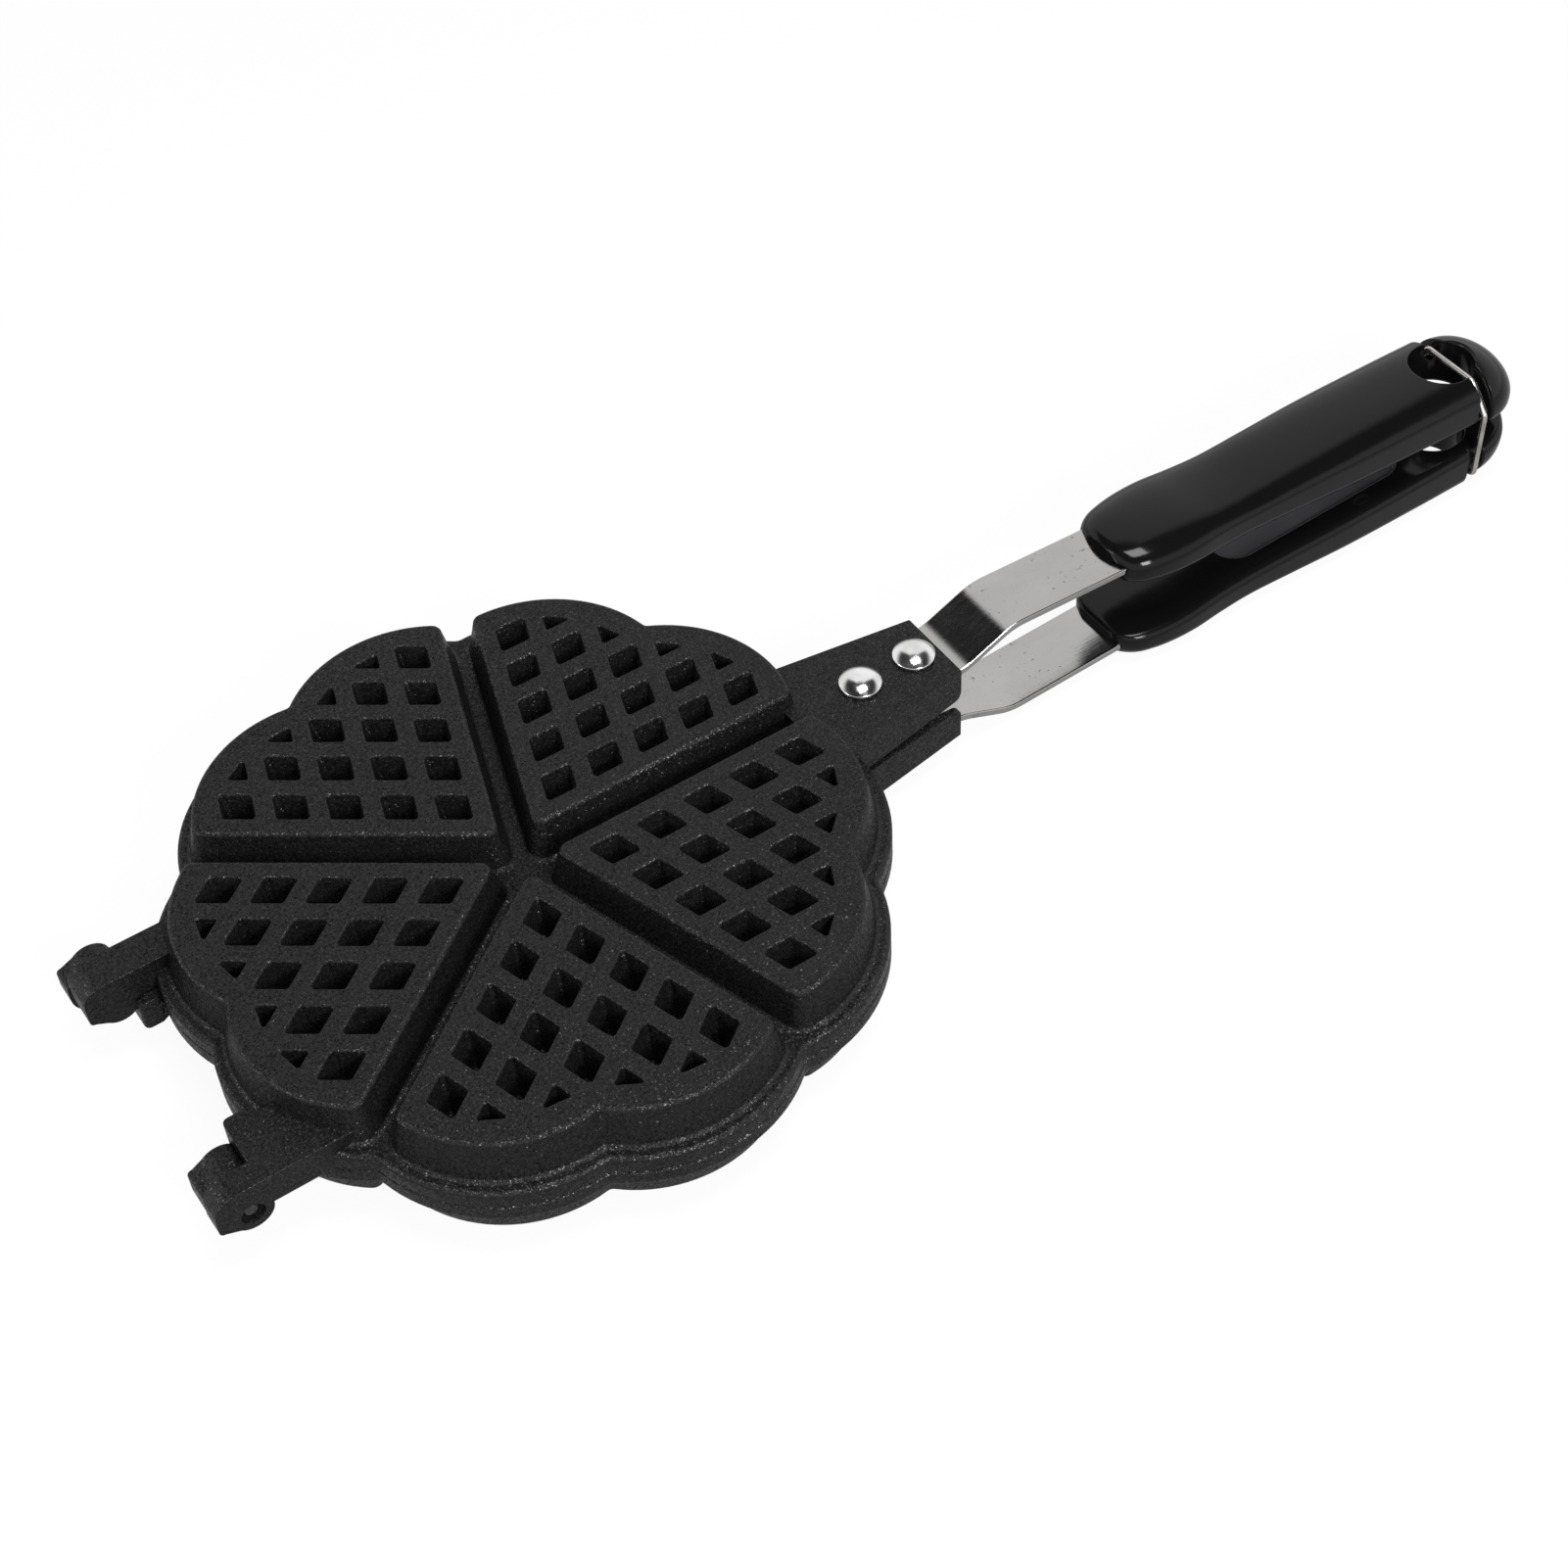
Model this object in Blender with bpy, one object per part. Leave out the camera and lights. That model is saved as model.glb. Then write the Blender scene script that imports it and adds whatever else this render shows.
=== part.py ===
import math

import bmesh
import bpy
from mathutils import Matrix, Vector

# Stovetop waffle pan: two like cast plates with five hearts each, folded together on a rear hinge.
# All sizes are in metres. Heights are measured from the plane where the two plates meet.

# Outline of the hearts and of the rim
LOBE_CENTRE_R = 0.04725
HEART_LOBE_R = 0.0324
GROOVE_HALF = 0.0041
HEART_TOP_H = 0.0155
HEART_DRAFT = 0.00225
HEART_EDGE = 0.0008
TIP_FILLET = 0.0024
CLEFT_FILLET = 0.0016
CORNER_FILLET = 0.0023
RIM_LEDGE = 0.00325
RIM_H = 0.0049
RIM_ROUND = 0.0011
RIM_FILLET = 0.0026
PARTING_GAP = 0.0003

# Inside of the hearts
WALL = 0.0026
SKIN = 0.0030
RIDGE_RELIEF = 0.0010
RELIEF_INSET = 0.0008

# Pits on the outside, which are pegs on the inside
LATTICE_EDGE = 0.008686
LATTICE_SIDE = 0.00818
PIT_WEB = 0.0047
PIT_FLOOR_SHARE = 0.5
CORNER_LONG_SHARE = 0.88
CORNER_SHORT_SHARE = 0.65
PEG_TIP_H = 0.0030
PEG_TIP_WALL = 0.0020
PEG_SIDE_WALL = 0.0007
PEG_TIP_SHARE = 0.72

# Tang that carries the strap
TANG_ROOT = 0.0026
TANG_LENGTH = 0.04165
TANG_ROOT_HALF = 0.0168
TANG_END_HALF = 0.0107
TANG_TOP_H = 0.0111
TANG_WEB = 0.0020
TANG_RELIEF = 0.0006
TANG_END_RELIEF = 0.0021
TANG_ROUND = 0.0022

# Steel strap
STRAP_HALF = 0.0089
STRAP_T = 0.0019
STRAP_LAP = 0.0284
STRAP_BEND_OUT = 0.0014
STRAP_RUN = 0.01525
STRAP_RISE = 0.0067
STRAP_TAIL = 0.1290
STRAP_TILT_DEG = 2.4
STRAP_BEND_R = 0.0060

# Rivets
RIVET_END = 0.0064
RIVET_SPACING = 0.0156
RIVET_HEAD_R = 0.00525
RIVET_DOME = 0.0025
RIVET_SHANK_R = 0.0022
RIVET_TAIL_R = 0.0038
RIVET_TAIL = 0.0011

# Hinge
HINGE_SETBACK = 0.0082
PIN_R = 0.0017
PIN_PLAY = 0.00025
BOSS_R = 0.0050
BOSS_CLEAR = 0.0006
EAR_TOP_H = 0.0089
EAR_NOSE = 0.0080
EAR_NOSE_DROP = 0.0020
EAR_NOSE_ROUND = 0.0012
EAR_ARM = 0.0270
EAR_GAP = 0.0006
OUTER_EAR_Y = 0.0350
OUTER_EAR_T = 0.00625
OUTER_EAR_ROUND = 0.0060
INNER_EAR_T = 0.0094
INNER_EAR_ROUND = 0.0048
PIN_RECESS_R = 0.00275
PIN_RECESS = 0.0010
PIN_BLIND = 0.0014
WEB_STUB_LEAD = 0.0034
WEB_STUB_T = 0.0019
WEB_STUB_ROUND = 0.0014
WEB_LIP = 0.0042
WEB_ROOT_X = 0.0210
WEB_ROOT_IN = 0.0055

# Handle
HANDLE_START = 0.0332
HANDLE_LENGTH = 0.1327
HANDLE_HALF = 0.0144
HANDLE_COVER = 0.0049
HANDLE_INNER_WALL = 0.0030
HANDLE_INNER_EDGE = 0.0024
BALL_R = 0.0148
HANG_HOLE_R = 0.00845
HANG_HOLE_BACK = 0.0208
RECESS_FRONT = 0.0256
RECESS_LENGTH = 0.0700
RECESS_HALF = 0.0062
RECESS_DEPTH = 0.0012

# Handle screw
SCREW_BACK = 0.0075
SCREW_R = 0.0016
SCREW_HEAD_R = 0.0026
SCREW_HEAD = 0.0013

# Wire bail
BAIL_BACK = 0.0173
BAIL_R = 0.00075
BAIL_BEND_R = 0.0016
BAIL_SINK = 0.0035
BAIL_CORNER_IN = 0.0064
BAIL_CORNER_DROP = 0.00775
BAIL_PIVOT_SINK = 0.0031
BAIL_END_IN = 0.0067
NECK_FRONT = 0.0014
NECK_REAR = 0.0022

# Clearances
SEAT_GAP = 0.0003
OVERRUN = 0.0040

# Counts and angles
HEARTS = 5
PIT_ROWS = 5
HEART_ANGLE = 2 * math.pi / HEARTS
SIDE_ANGLE = HEART_ANGLE / 2
LOBE_ANGLE = HEART_ANGLE / 4
BOSS_ANGLE = 3 * math.pi / 4
ARC_STEPS = 7
ROUND_STEPS = 14

# Shares that shape the rivet, the screw head and the sections of the handle
RIVET_TAIL_SHARE = 0.8
RIVET_DOME_SHARES = (0.66, 0.2)
SCREW_EDGE_SHARE = 0.7
SHOULDER_SHARE = 0.42
ROUND_SHOULDER_SHARE = 0.75
SQUARE_SHARE = 0.88
EDGE_SHARE = 0.25
CROWN_STEPS = 5
BALL_SHARES = (0.0, 0.25, 0.5, 0.72, 0.88, 0.99)

# Stations of the handle from its front to the neck, as shares of the full size:
# place along the length, width, height, lift of the inner face, and roundness of the section
HANDLE_SHARES = (
    (0.000, 0.42, 0.76, 0.10, 0.8),
    (0.009, 0.64, 0.85, 0.04, 0.7),
    (0.032, 0.82, 0.94, 0.01, 0.6),
    (0.061, 0.90, 0.99, 0.00, 0.5),
    (0.108, 0.96, 1.01, 0.00, 0.4),
    (0.165, 0.96, 0.98, 0.00, 0.2),
    (0.231, 0.91, 0.90, 0.00, 0.0),
    (0.306, 0.89, 0.87, 0.00, 0.0),
    (0.410, 0.91, 0.92, 0.00, 0.0),
    (0.552, 0.95, 0.97, 0.00, 0.0),
    (0.740, 0.96, 0.98, 0.00, 0.0),
    (0.850, 0.96, 0.97, 0.00, 0.0),
    (0.900, 0.96, 0.96, 0.00, 0.0),
)

# Values worked out from the sizes above
RIM_FACE = PARTING_GAP / 2
LOBE_X = LOBE_CENTRE_R * math.cos(LOBE_ANGLE)
LOBE_Y = LOBE_CENTRE_R * math.sin(LOBE_ANGLE)
RIM_LOBE_R = HEART_LOBE_R + HEART_DRAFT + RIM_LEDGE
HEART_CORNER_X = LOBE_X + math.sqrt(HEART_LOBE_R ** 2 - (LOBE_Y - GROOVE_HALF) ** 2)
RIM_REACH = LOBE_X + RIM_LOBE_R
FIRST_PIT_R = (GROOVE_HALF + LATTICE_SIDE) / math.sin(SIDE_ANGLE)
PIT_PITCH = (HEART_CORNER_X - LATTICE_EDGE - FIRST_PIT_R * math.cos(SIDE_ANGLE)) / (PIT_ROWS - 1)
PIT_HALF = (PIT_PITCH - PIT_WEB) / 2
PIT_FLOOR_H = PEG_TIP_H + PEG_TIP_WALL
CAVITY_TOP_H = HEART_TOP_H - SKIN
HINGE_X = -(RIM_REACH + HINGE_SETBACK)
INNER_EAR_Y = OUTER_EAR_Y - EAR_GAP
TANG_X = HEART_CORNER_X - TANG_ROOT
TANG_END_X = TANG_X + TANG_LENGTH
STRAP_X = TANG_END_X - STRAP_LAP
STRAP_BEND_X = TANG_END_X + STRAP_BEND_OUT
STRAP_TOP_H = TANG_TOP_H - TANG_WEB - SEAT_GAP
STRAP_CREST_X = STRAP_BEND_X + STRAP_RUN
STRAP_CREST_H = STRAP_TOP_H + STRAP_RISE
STRAP_SLOPE = math.tan(math.radians(STRAP_TILT_DEG))
STRAP_END_X = STRAP_CREST_X + STRAP_TAIL
HANDLE_X = STRAP_CREST_X + HANDLE_START
HANDLE_TIP_X = HANDLE_X + HANDLE_LENGTH
BALL_X = HANDLE_TIP_X - BALL_R
HANDLE_CROWN_H = STRAP_CREST_H - HANDLE_START * STRAP_SLOPE + HANDLE_COVER
BAIL_X = HANDLE_TIP_X - BAIL_BACK
BAIL_TOP_H = HANDLE_CROWN_H - BAIL_SINK
BAIL_PIVOT_H = BAIL_TOP_H - BAIL_PIVOT_SINK
SCREW_X = STRAP_END_X - SCREW_BACK


def clear_scene():
    for item in list(bpy.data.objects):
        bpy.data.objects.remove(item, do_unlink=True)


def arc(centre, radius, start, stop, steps):
    """Points on an arc between two angles, both ends included."""
    points = []
    for index in range(steps + 1):
        angle = start + (stop - start) * index / steps
        points.append((centre[0] + radius * math.cos(angle), centre[1] + radius * math.sin(angle)))
    return points


def turned(points, angle):
    """The outline turned about the plate's centre."""
    cosine, sine = math.cos(angle), math.sin(angle)
    return [(x * cosine - y * sine, x * sine + y * cosine) for x, y in points]


def offset_path(points, distance):
    """An open path moved sideways, to its left, with mitred corners."""
    moved = []
    for index, point in enumerate(points):
        before = Vector(point) - Vector(points[max(index - 1, 0)])
        after = Vector(points[min(index + 1, len(points) - 1)]) - Vector(point)
        if index == 0:
            before = after
        if index == len(points) - 1:
            after = before
        left = Vector((-before.y, before.x)).normalized()
        next_left = Vector((-after.y, after.x)).normalized()
        mitre = (left + next_left) / (1 + left.dot(next_left))
        moved.append((point[0] + mitre.x * distance, point[1] + mitre.y * distance))
    return moved


def rounded_path(points, radius, steps):
    """A path whose inner corners are replaced by arcs of one radius."""
    smooth = [points[0]]
    for before, corner, after in zip(points, points[1:], points[2:]):
        centre = Vector(corner)
        incoming = (Vector(before) - centre).normalized()
        outgoing = (Vector(after) - centre).normalized()
        half = incoming.angle(outgoing) / 2
        reach = radius / math.tan(half)
        middle = centre + (incoming + outgoing).normalized() * radius / math.sin(half)
        first = centre + incoming * reach - middle
        last = centre + outgoing * reach - middle
        for index in range(steps + 1):
            spoke = first.lerp(last, index / steps).normalized() * radius
            smooth.append(tuple(middle + spoke))
    smooth.append(points[-1])
    return smooth


def loft(rings, name):
    """A closed body through rings of points, with flat ends."""
    mesh = bpy.data.meshes.new(name)
    body = bmesh.new()
    loops = [[body.verts.new(point) for point in ring] for ring in rings]
    for lower, upper in zip(loops, loops[1:]):
        for index, vertex in enumerate(lower):
            following = (index + 1) % len(lower)
            body.faces.new((vertex, lower[following], upper[following], upper[index]))
    body.faces.new(list(reversed(loops[0])))
    body.faces.new(loops[-1])
    bmesh.ops.recalc_face_normals(body, faces=body.faces)
    body.to_mesh(mesh)
    body.free()
    return mesh


def level_ring(points, height):
    return [(x, y, height) for x, y in points]


def side_ring(points, y):
    return [(x, y, z) for x, z in points]


def prism(points, bottom, top, name):
    """An outline seen from above, pulled straight up."""
    return loft([level_ring(points, bottom), level_ring(points, top)], name)


def side_prism(points, low_y, high_y, name):
    """An outline seen from the side, pulled across."""
    return loft([side_ring(points, low_y), side_ring(points, high_y)], name)


def turned_body(profile, name):
    """A body turned round +Z from its profile of radius and height, closed at both poles."""
    mesh = bpy.data.meshes.new(name)
    body = bmesh.new()
    loops = []
    for radius, height in profile:
        ring = []
        for x, y in arc((0, 0), radius, 0, 2 * math.pi, ROUND_STEPS)[:-1]:
            ring.append(body.verts.new((x, y, height)))
        loops.append(ring)
    for lower, upper in zip(loops, loops[1:]):
        for index, vertex in enumerate(lower):
            following = (index + 1) % len(lower)
            body.faces.new((vertex, lower[following], upper[following], upper[index]))
    body.faces.new(list(reversed(loops[0])))
    body.faces.new(loops[-1])
    bmesh.ops.recalc_face_normals(body, faces=body.faces)
    body.to_mesh(mesh)
    body.free()
    return mesh


def merged(meshes, name):
    """Several meshes that do not touch, as one mesh."""
    body = bmesh.new()
    for mesh in meshes:
        body.from_mesh(mesh)
    result = bpy.data.meshes.new(name)
    body.to_mesh(result)
    body.free()
    return result


def moved(mesh, matrix):
    mesh.transform(matrix)
    return mesh


def combine(base, tool, operation):
    """One Boolean step between two meshes, as a new mesh."""
    target = bpy.data.objects.new("target", base)
    cutter = bpy.data.objects.new("cutter", tool)
    cutter.hide_render = True
    cutter.display_type = "WIRE"
    for item in (target, cutter):
        bpy.context.scene.collection.objects.link(item)
    step = target.modifiers.new("step", "BOOLEAN")
    step.operation = operation
    step.solver = "EXACT"
    step.object = cutter
    graph = bpy.context.evaluated_depsgraph_get()
    result = bpy.data.meshes.new_from_object(target.evaluated_get(graph))
    for item in (target, cutter):
        bpy.data.objects.remove(item, do_unlink=True)
    return result


def united(base, tool):
    return combine(base, tool, "UNION")


def cut(base, tool):
    return combine(base, tool, "DIFFERENCE")


def heart_outline(grow):
    """One heart on the +X axis: tip by the plate's centre, rounded corners, two lobes and a cleft."""
    lobe_r = HEART_LOBE_R + grow
    groove = GROOVE_HALF - grow
    tip_r = max(TIP_FILLET + grow / 2, TIP_FILLET / 4)
    tip_x = (groove + tip_r) / math.sin(SIDE_ANGLE)
    corner_r = max(CORNER_FILLET + grow, TIP_FILLET / 4)
    corner_off = groove + corner_r
    corner_along = LOBE_X + math.sqrt((lobe_r - corner_r) ** 2 - (LOBE_Y - corner_off) ** 2)
    corner = turned([(corner_along, -corner_off)], SIDE_ANGLE)[0]
    corner_angle = math.atan2(corner[1] - LOBE_Y, corner[0] - LOBE_X)
    cleft_x = LOBE_X + math.sqrt((lobe_r + CLEFT_FILLET) ** 2 - LOBE_Y ** 2)
    meet_angle = math.asin(LOBE_Y / (lobe_r + CLEFT_FILLET))
    points = arc((tip_x, 0), tip_r, math.pi, math.pi / 2 + SIDE_ANGLE, 2)
    points += arc(corner, corner_r, math.pi / 2 + SIDE_ANGLE, corner_angle, 2)
    points += arc((LOBE_X, LOBE_Y), lobe_r, corner_angle, -meet_angle, ARC_STEPS)[1:]
    points.append((cleft_x - CLEFT_FILLET, 0))
    mirrored = [(x, -y) for x, y in reversed(points[1:-1])]
    return points + mirrored


def rim_outline(inset, lobe_r, fillet_r):
    """The ten-lobed outline of the rim, with a small hollow between each two lobes."""
    radius = lobe_r - inset
    hollow_r = fillet_r + inset
    meet_angle = math.asin(LOBE_Y / (radius + hollow_r))
    hollow_x = LOBE_X + math.sqrt((radius + hollow_r) ** 2 - LOBE_Y ** 2)
    reach = LOBE_ANGLE + meet_angle
    wing = arc((LOBE_CENTRE_R, 0), radius, -reach, reach, ARC_STEPS - 1)
    hollow = turned([(hollow_x - hollow_r, 0)], LOBE_ANGLE)
    points = []
    for index in range(2 * HEARTS):
        points += turned(wing + hollow, LOBE_ANGLE + index * SIDE_ANGLE)
    return points


def hearts(levels, name):
    """Five like hearts, lofted through levels of height and outline growth."""
    bodies = []
    for index in range(HEARTS):
        angle = SIDE_ANGLE + index * HEART_ANGLE
        rings = [level_ring(turned(heart_outline(grow), angle), height) for height, grow in levels]
        bodies.append(loft(rings, name))
    return merged(bodies, name)


def draft_at(height):
    """How far the drafted side of a heart stands out at a height."""
    return HEART_DRAFT * (HEART_TOP_H - height) / (HEART_TOP_H - RIM_H)


def pit_outlines():
    """Mouth outlines of one heart's pits, on the +X axis: diamonds, and triangles along the outer edge."""
    along = Vector((math.cos(SIDE_ANGLE), -math.sin(SIDE_ANGLE)))
    across = Vector((math.cos(SIDE_ANGLE), math.sin(SIDE_ANGLE)))
    first = Vector((FIRST_PIT_R, 0))
    outlines = []
    for row in range(PIT_ROWS):
        for column in range(PIT_ROWS - row):
            centre = first + (along * row + across * column) * PIT_PITCH
            near = centre - (along + across) * PIT_HALF
            far = centre + (along + across) * PIT_HALF
            outlines.append([near, near + along * 2 * PIT_HALF, far, near + across * 2 * PIT_HALF])
    for row in range(1, PIT_ROWS):
        column = PIT_ROWS - row
        long_leg = 2 * PIT_HALF * CORNER_LONG_SHARE
        short_leg = 2 * PIT_HALF * CORNER_SHORT_SHARE
        legs = (long_leg, short_leg) if row % 2 else (short_leg, long_leg)
        centre = first + (along * row + across * column) * PIT_PITCH
        near = centre - (along + across) * PIT_HALF
        outlines.append([near, near + along * legs[0], near + across * legs[1]])
    return outlines


def grown(outline, distance):
    """A convex outline with its sides moved out by one distance."""
    count = len(outline)
    result = []
    for index, point in enumerate(outline):
        before = (point - outline[index - 1]).normalized()
        after = (outline[(index + 1) % count] - point).normalized()
        out = Vector((before.y, -before.x))
        next_out = Vector((after.y, -after.x))
        result.append(point + (out + next_out) / (1 + out.dot(next_out)) * distance)
    return result


def shrunk(outline, share):
    """An outline drawn in towards its middle."""
    middle = sum(outline, Vector((0, 0))) / len(outline)
    return [middle.lerp(point, share) for point in outline]


def tapers(growth, first_h, first_share, last_h, last_share, name):
    """Tapered posts on every pit of every heart."""
    posts = []
    for heart in range(HEARTS):
        angle = SIDE_ANGLE + heart * HEART_ANGLE
        for outline in pit_outlines():
            wide = grown(outline, growth)
            first = turned([tuple(p) for p in shrunk(wide, first_share)], angle)
            last = turned([tuple(p) for p in shrunk(wide, last_share)], angle)
            posts.append(loft([level_ring(first, first_h), level_ring(last, last_h)], name))
    return merged(posts, name)


def beyond(first_share, last_share, length, extra):
    """The share that a straight taper reaches a little past its last level."""
    return last_share + (last_share - first_share) * extra / length


def pits():
    depth = HEART_TOP_H - PIT_FLOOR_H
    mouth_share = beyond(PIT_FLOOR_SHARE, 1, depth, OVERRUN)
    return tapers(0, PIT_FLOOR_H, PIT_FLOOR_SHARE, HEART_TOP_H + OVERRUN, mouth_share, "pits")


def pegs():
    height = CAVITY_TOP_H - PEG_TIP_H
    root_share = beyond(PEG_TIP_SHARE, 1, height, OVERRUN)
    return tapers(PEG_SIDE_WALL, PEG_TIP_H, PEG_TIP_SHARE, CAVITY_TOP_H + OVERRUN, root_share, "pegs")


def cavities():
    """The five hollow hearts, with room left for the pegs that stand in them."""
    levels = [(-OVERRUN, draft_at(-OVERRUN) - WALL), (CAVITY_TOP_H, draft_at(CAVITY_TOP_H) - WALL)]
    return cut(hearts(levels, "cavities"), pegs())


def ridge_relief():
    """A shallow cut that keeps the ridges between the hearts clear of the other plate."""
    inner_r = HEART_LOBE_R + draft_at(0) - WALL - RELIEF_INSET
    return prism(rim_outline(0, inner_r, RIM_FILLET), -OVERRUN, RIM_FACE + RIDGE_RELIEF, "relief")


def rim():
    rings = [(RIM_FACE, 0), (RIM_H - RIM_ROUND, 0), (RIM_H, RIM_ROUND)]
    levels = [level_ring(rim_outline(inset, RIM_LOBE_R, RIM_FILLET), height) for height, inset in rings]
    return loft(levels, "rim")


def heart_bodies():
    root_h = RIM_H - RIM_ROUND * 2
    levels = [(root_h, draft_at(root_h)), (HEART_TOP_H - HEART_EDGE, draft_at(HEART_TOP_H - HEART_EDGE)),
              (HEART_TOP_H, -HEART_EDGE)]
    return hearts(levels, "heart_bodies")


def tang_half(x):
    """Half the tang's width at a place along it."""
    share = (x - TANG_X) / (TANG_END_X - TANG_X)
    return TANG_ROOT_HALF + (TANG_END_HALF - TANG_ROOT_HALF) * share


def tang():
    """The tapered block between the plate and the strap, with its lower end corner rounded."""
    lower = [(TANG_X, TANG_RELIEF), (TANG_END_X, TANG_END_RELIEF), (TANG_END_X, TANG_TOP_H - SEAT_GAP)]
    side = rounded_path(lower, TANG_ROUND, 3)
    side += [(TANG_END_X - SEAT_GAP, TANG_TOP_H), (TANG_X, TANG_TOP_H)]
    near = [(x, -tang_half(x), z) for x, z in side]
    far = [(x, tang_half(x), z) for x, z in side]
    return loft([near, far], "tang")


def bend_reach():
    """How far before its corner the strap starts to bend."""
    return STRAP_BEND_R * math.tan(math.atan2(STRAP_RISE, STRAP_RUN) / 2)


def strap_path():
    """The strap's upper line from the plate to its end inside the handle."""
    crest = (STRAP_CREST_X, STRAP_CREST_H)
    end = (STRAP_END_X, STRAP_CREST_H - STRAP_TAIL * STRAP_SLOPE)
    corners = [(STRAP_X, STRAP_TOP_H), (STRAP_BEND_X, STRAP_TOP_H), crest, end]
    return rounded_path(corners, STRAP_BEND_R, 3)


def strap_channel():
    """The room under the tang's web that the strap lies in."""
    path = [(STRAP_X - SEAT_GAP, STRAP_TOP_H), (STRAP_BEND_X - bend_reach(), STRAP_TOP_H)]
    path.append((STRAP_CREST_X, STRAP_CREST_H))
    roof = offset_path(path, SEAT_GAP)
    side = roof + [(roof[-1][0], -OVERRUN), (roof[0][0], -OVERRUN)]
    half = STRAP_HALF + SEAT_GAP
    return side_prism(side, -half, half, "channel")


def ear_outline(nose, corner_r):
    """An ear seen from the side: arm, boss round the pin, drooping nose and rounded top corner."""
    boss = arc((HINGE_X, 0), BOSS_R, 0, -BOSS_ANGLE, 6)
    boss[0] = (HINGE_X + math.sqrt(BOSS_R ** 2 - RIM_FACE ** 2), RIM_FACE)
    front = HINGE_X - nose
    root = HINGE_X + EAR_ARM
    droop = (front + EAR_NOSE_ROUND, -EAR_NOSE_DROP)
    crown = arc((front + corner_r, EAR_TOP_H - corner_r), corner_r, math.pi, math.pi / 2, 3)
    nose_face = [droop, (front, EAR_NOSE_ROUND - EAR_NOSE_DROP)]
    return [(root, RIM_FACE)] + boss + nose_face + crown + [(root, EAR_TOP_H)]


def ears():
    """The thin outer ear on one side and the thick inner ear on the other."""
    thin = ear_outline(EAR_NOSE, OUTER_EAR_ROUND)
    thick = ear_outline(EAR_NOSE - EAR_GAP, INNER_EAR_ROUND)
    outer = side_prism(thin, -(OUTER_EAR_Y + OUTER_EAR_T), -OUTER_EAR_Y, "outer_ear")
    inner = side_prism(thick, INNER_EAR_Y - INNER_EAR_T, INNER_EAR_Y, "inner_ear")
    return merged([outer, inner], "ears")


def hinge_web():
    """The web that ties the outer ear to the plate, cut clear of the other plate's boss."""
    front = HINGE_X + WEB_STUB_LEAD
    ear_y = -(OUTER_EAR_Y + OUTER_EAR_T / 2)
    stub_in = -(INNER_EAR_Y - INNER_EAR_T - EAR_GAP)
    stub_out = stub_in + WEB_STUB_T
    corner = arc((front + WEB_STUB_ROUND, stub_out - WEB_STUB_ROUND), WEB_STUB_ROUND, math.pi, math.pi / 2, 2)
    outline = [(HINGE_X + EAR_ARM, ear_y), (front, ear_y)] + corner
    outline += [(front + WEB_LIP, stub_out), (HINGE_X + WEB_ROOT_X, -(INNER_EAR_Y - WEB_ROOT_IN))]
    web = prism(outline, RIM_FACE, EAR_TOP_H, "web")
    room = cylinder_across(BOSS_R + BOSS_CLEAR, -(OUTER_EAR_Y + EAR_GAP), stub_in)
    return cut(web, room)


def cylinder_across(radius, low_y, high_y):
    """A round bar along Y on the hinge axis."""
    outline = [(HINGE_X + x, z) for x, z in arc((0, 0), radius, 0, 2 * math.pi, ROUND_STEPS)[:-1]]
    return side_prism(outline, low_y, high_y, "bar")


def pin_holes():
    """Through hole and recess in the outer ear, blind hole in the inner ear."""
    outer_face = OUTER_EAR_Y + OUTER_EAR_T
    hole_r = PIN_R + PIN_PLAY
    through = cylinder_across(hole_r, -(outer_face + OVERRUN), -(OUTER_EAR_Y - EAR_GAP / 2))
    blind = cylinder_across(hole_r, INNER_EAR_Y - INNER_EAR_T + PIN_BLIND, INNER_EAR_Y + EAR_GAP / 2)
    return merged([through, blind], "pin_holes")


def pin_recess():
    outer_face = OUTER_EAR_Y + OUTER_EAR_T
    return cylinder_across(PIN_RECESS_R, -(outer_face + OVERRUN), -(outer_face - PIN_RECESS))


def rivet_places():
    """X of the two rivets, the outer one first."""
    outer = TANG_END_X - RIVET_END
    return [outer, outer - RIVET_SPACING]


def rivet_holes():
    bars = []
    for x in rivet_places():
        outline = arc((x, 0), RIVET_SHANK_R + SEAT_GAP, 0, 2 * math.pi, ROUND_STEPS)[:-1]
        bars.append(prism(outline, -OVERRUN, TANG_TOP_H + OVERRUN, "rivet_hole"))
    return merged(bars, "rivet_holes")


def casting():
    """The cast plate: both halves of the pan are this same casting."""
    body = united(rim(), heart_bodies())
    body = united(body, tang())
    body = united(body, hinge_web())
    body = united(body, ears())
    body = cut(body, strap_channel())
    body = cut(body, cavities())
    body = cut(body, ridge_relief())
    body = cut(body, pits())
    body = cut(body, pin_holes())
    body = cut(body, pin_recess())
    return cut(body, rivet_holes())


def strap():
    """Flat steel bent twice, with holes for two rivets and the handle screw."""
    top = strap_path()
    bottom = offset_path(top, -STRAP_T)
    body = side_prism(top + bottom[::-1], -STRAP_HALF, STRAP_HALF, "strap")
    hole_h = strap_height(SCREW_X)
    screw_hole = arc((SCREW_X, 0), SCREW_R + SEAT_GAP, 0, 2 * math.pi, ROUND_STEPS)[:-1]
    screw_bar = prism(screw_hole, hole_h - STRAP_T - OVERRUN, hole_h + OVERRUN, "screw_hole")
    return cut(cut(body, rivet_holes()), screw_bar)


def strap_height(x):
    """Height of the strap's upper face past its crest, and of the line that the handle follows."""
    return STRAP_CREST_H - (x - STRAP_CREST_X) * STRAP_SLOPE


def inner_height(x):
    """Height of the handle's flat inner face."""
    return strap_height(x) - STRAP_T - HANDLE_INNER_WALL


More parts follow.
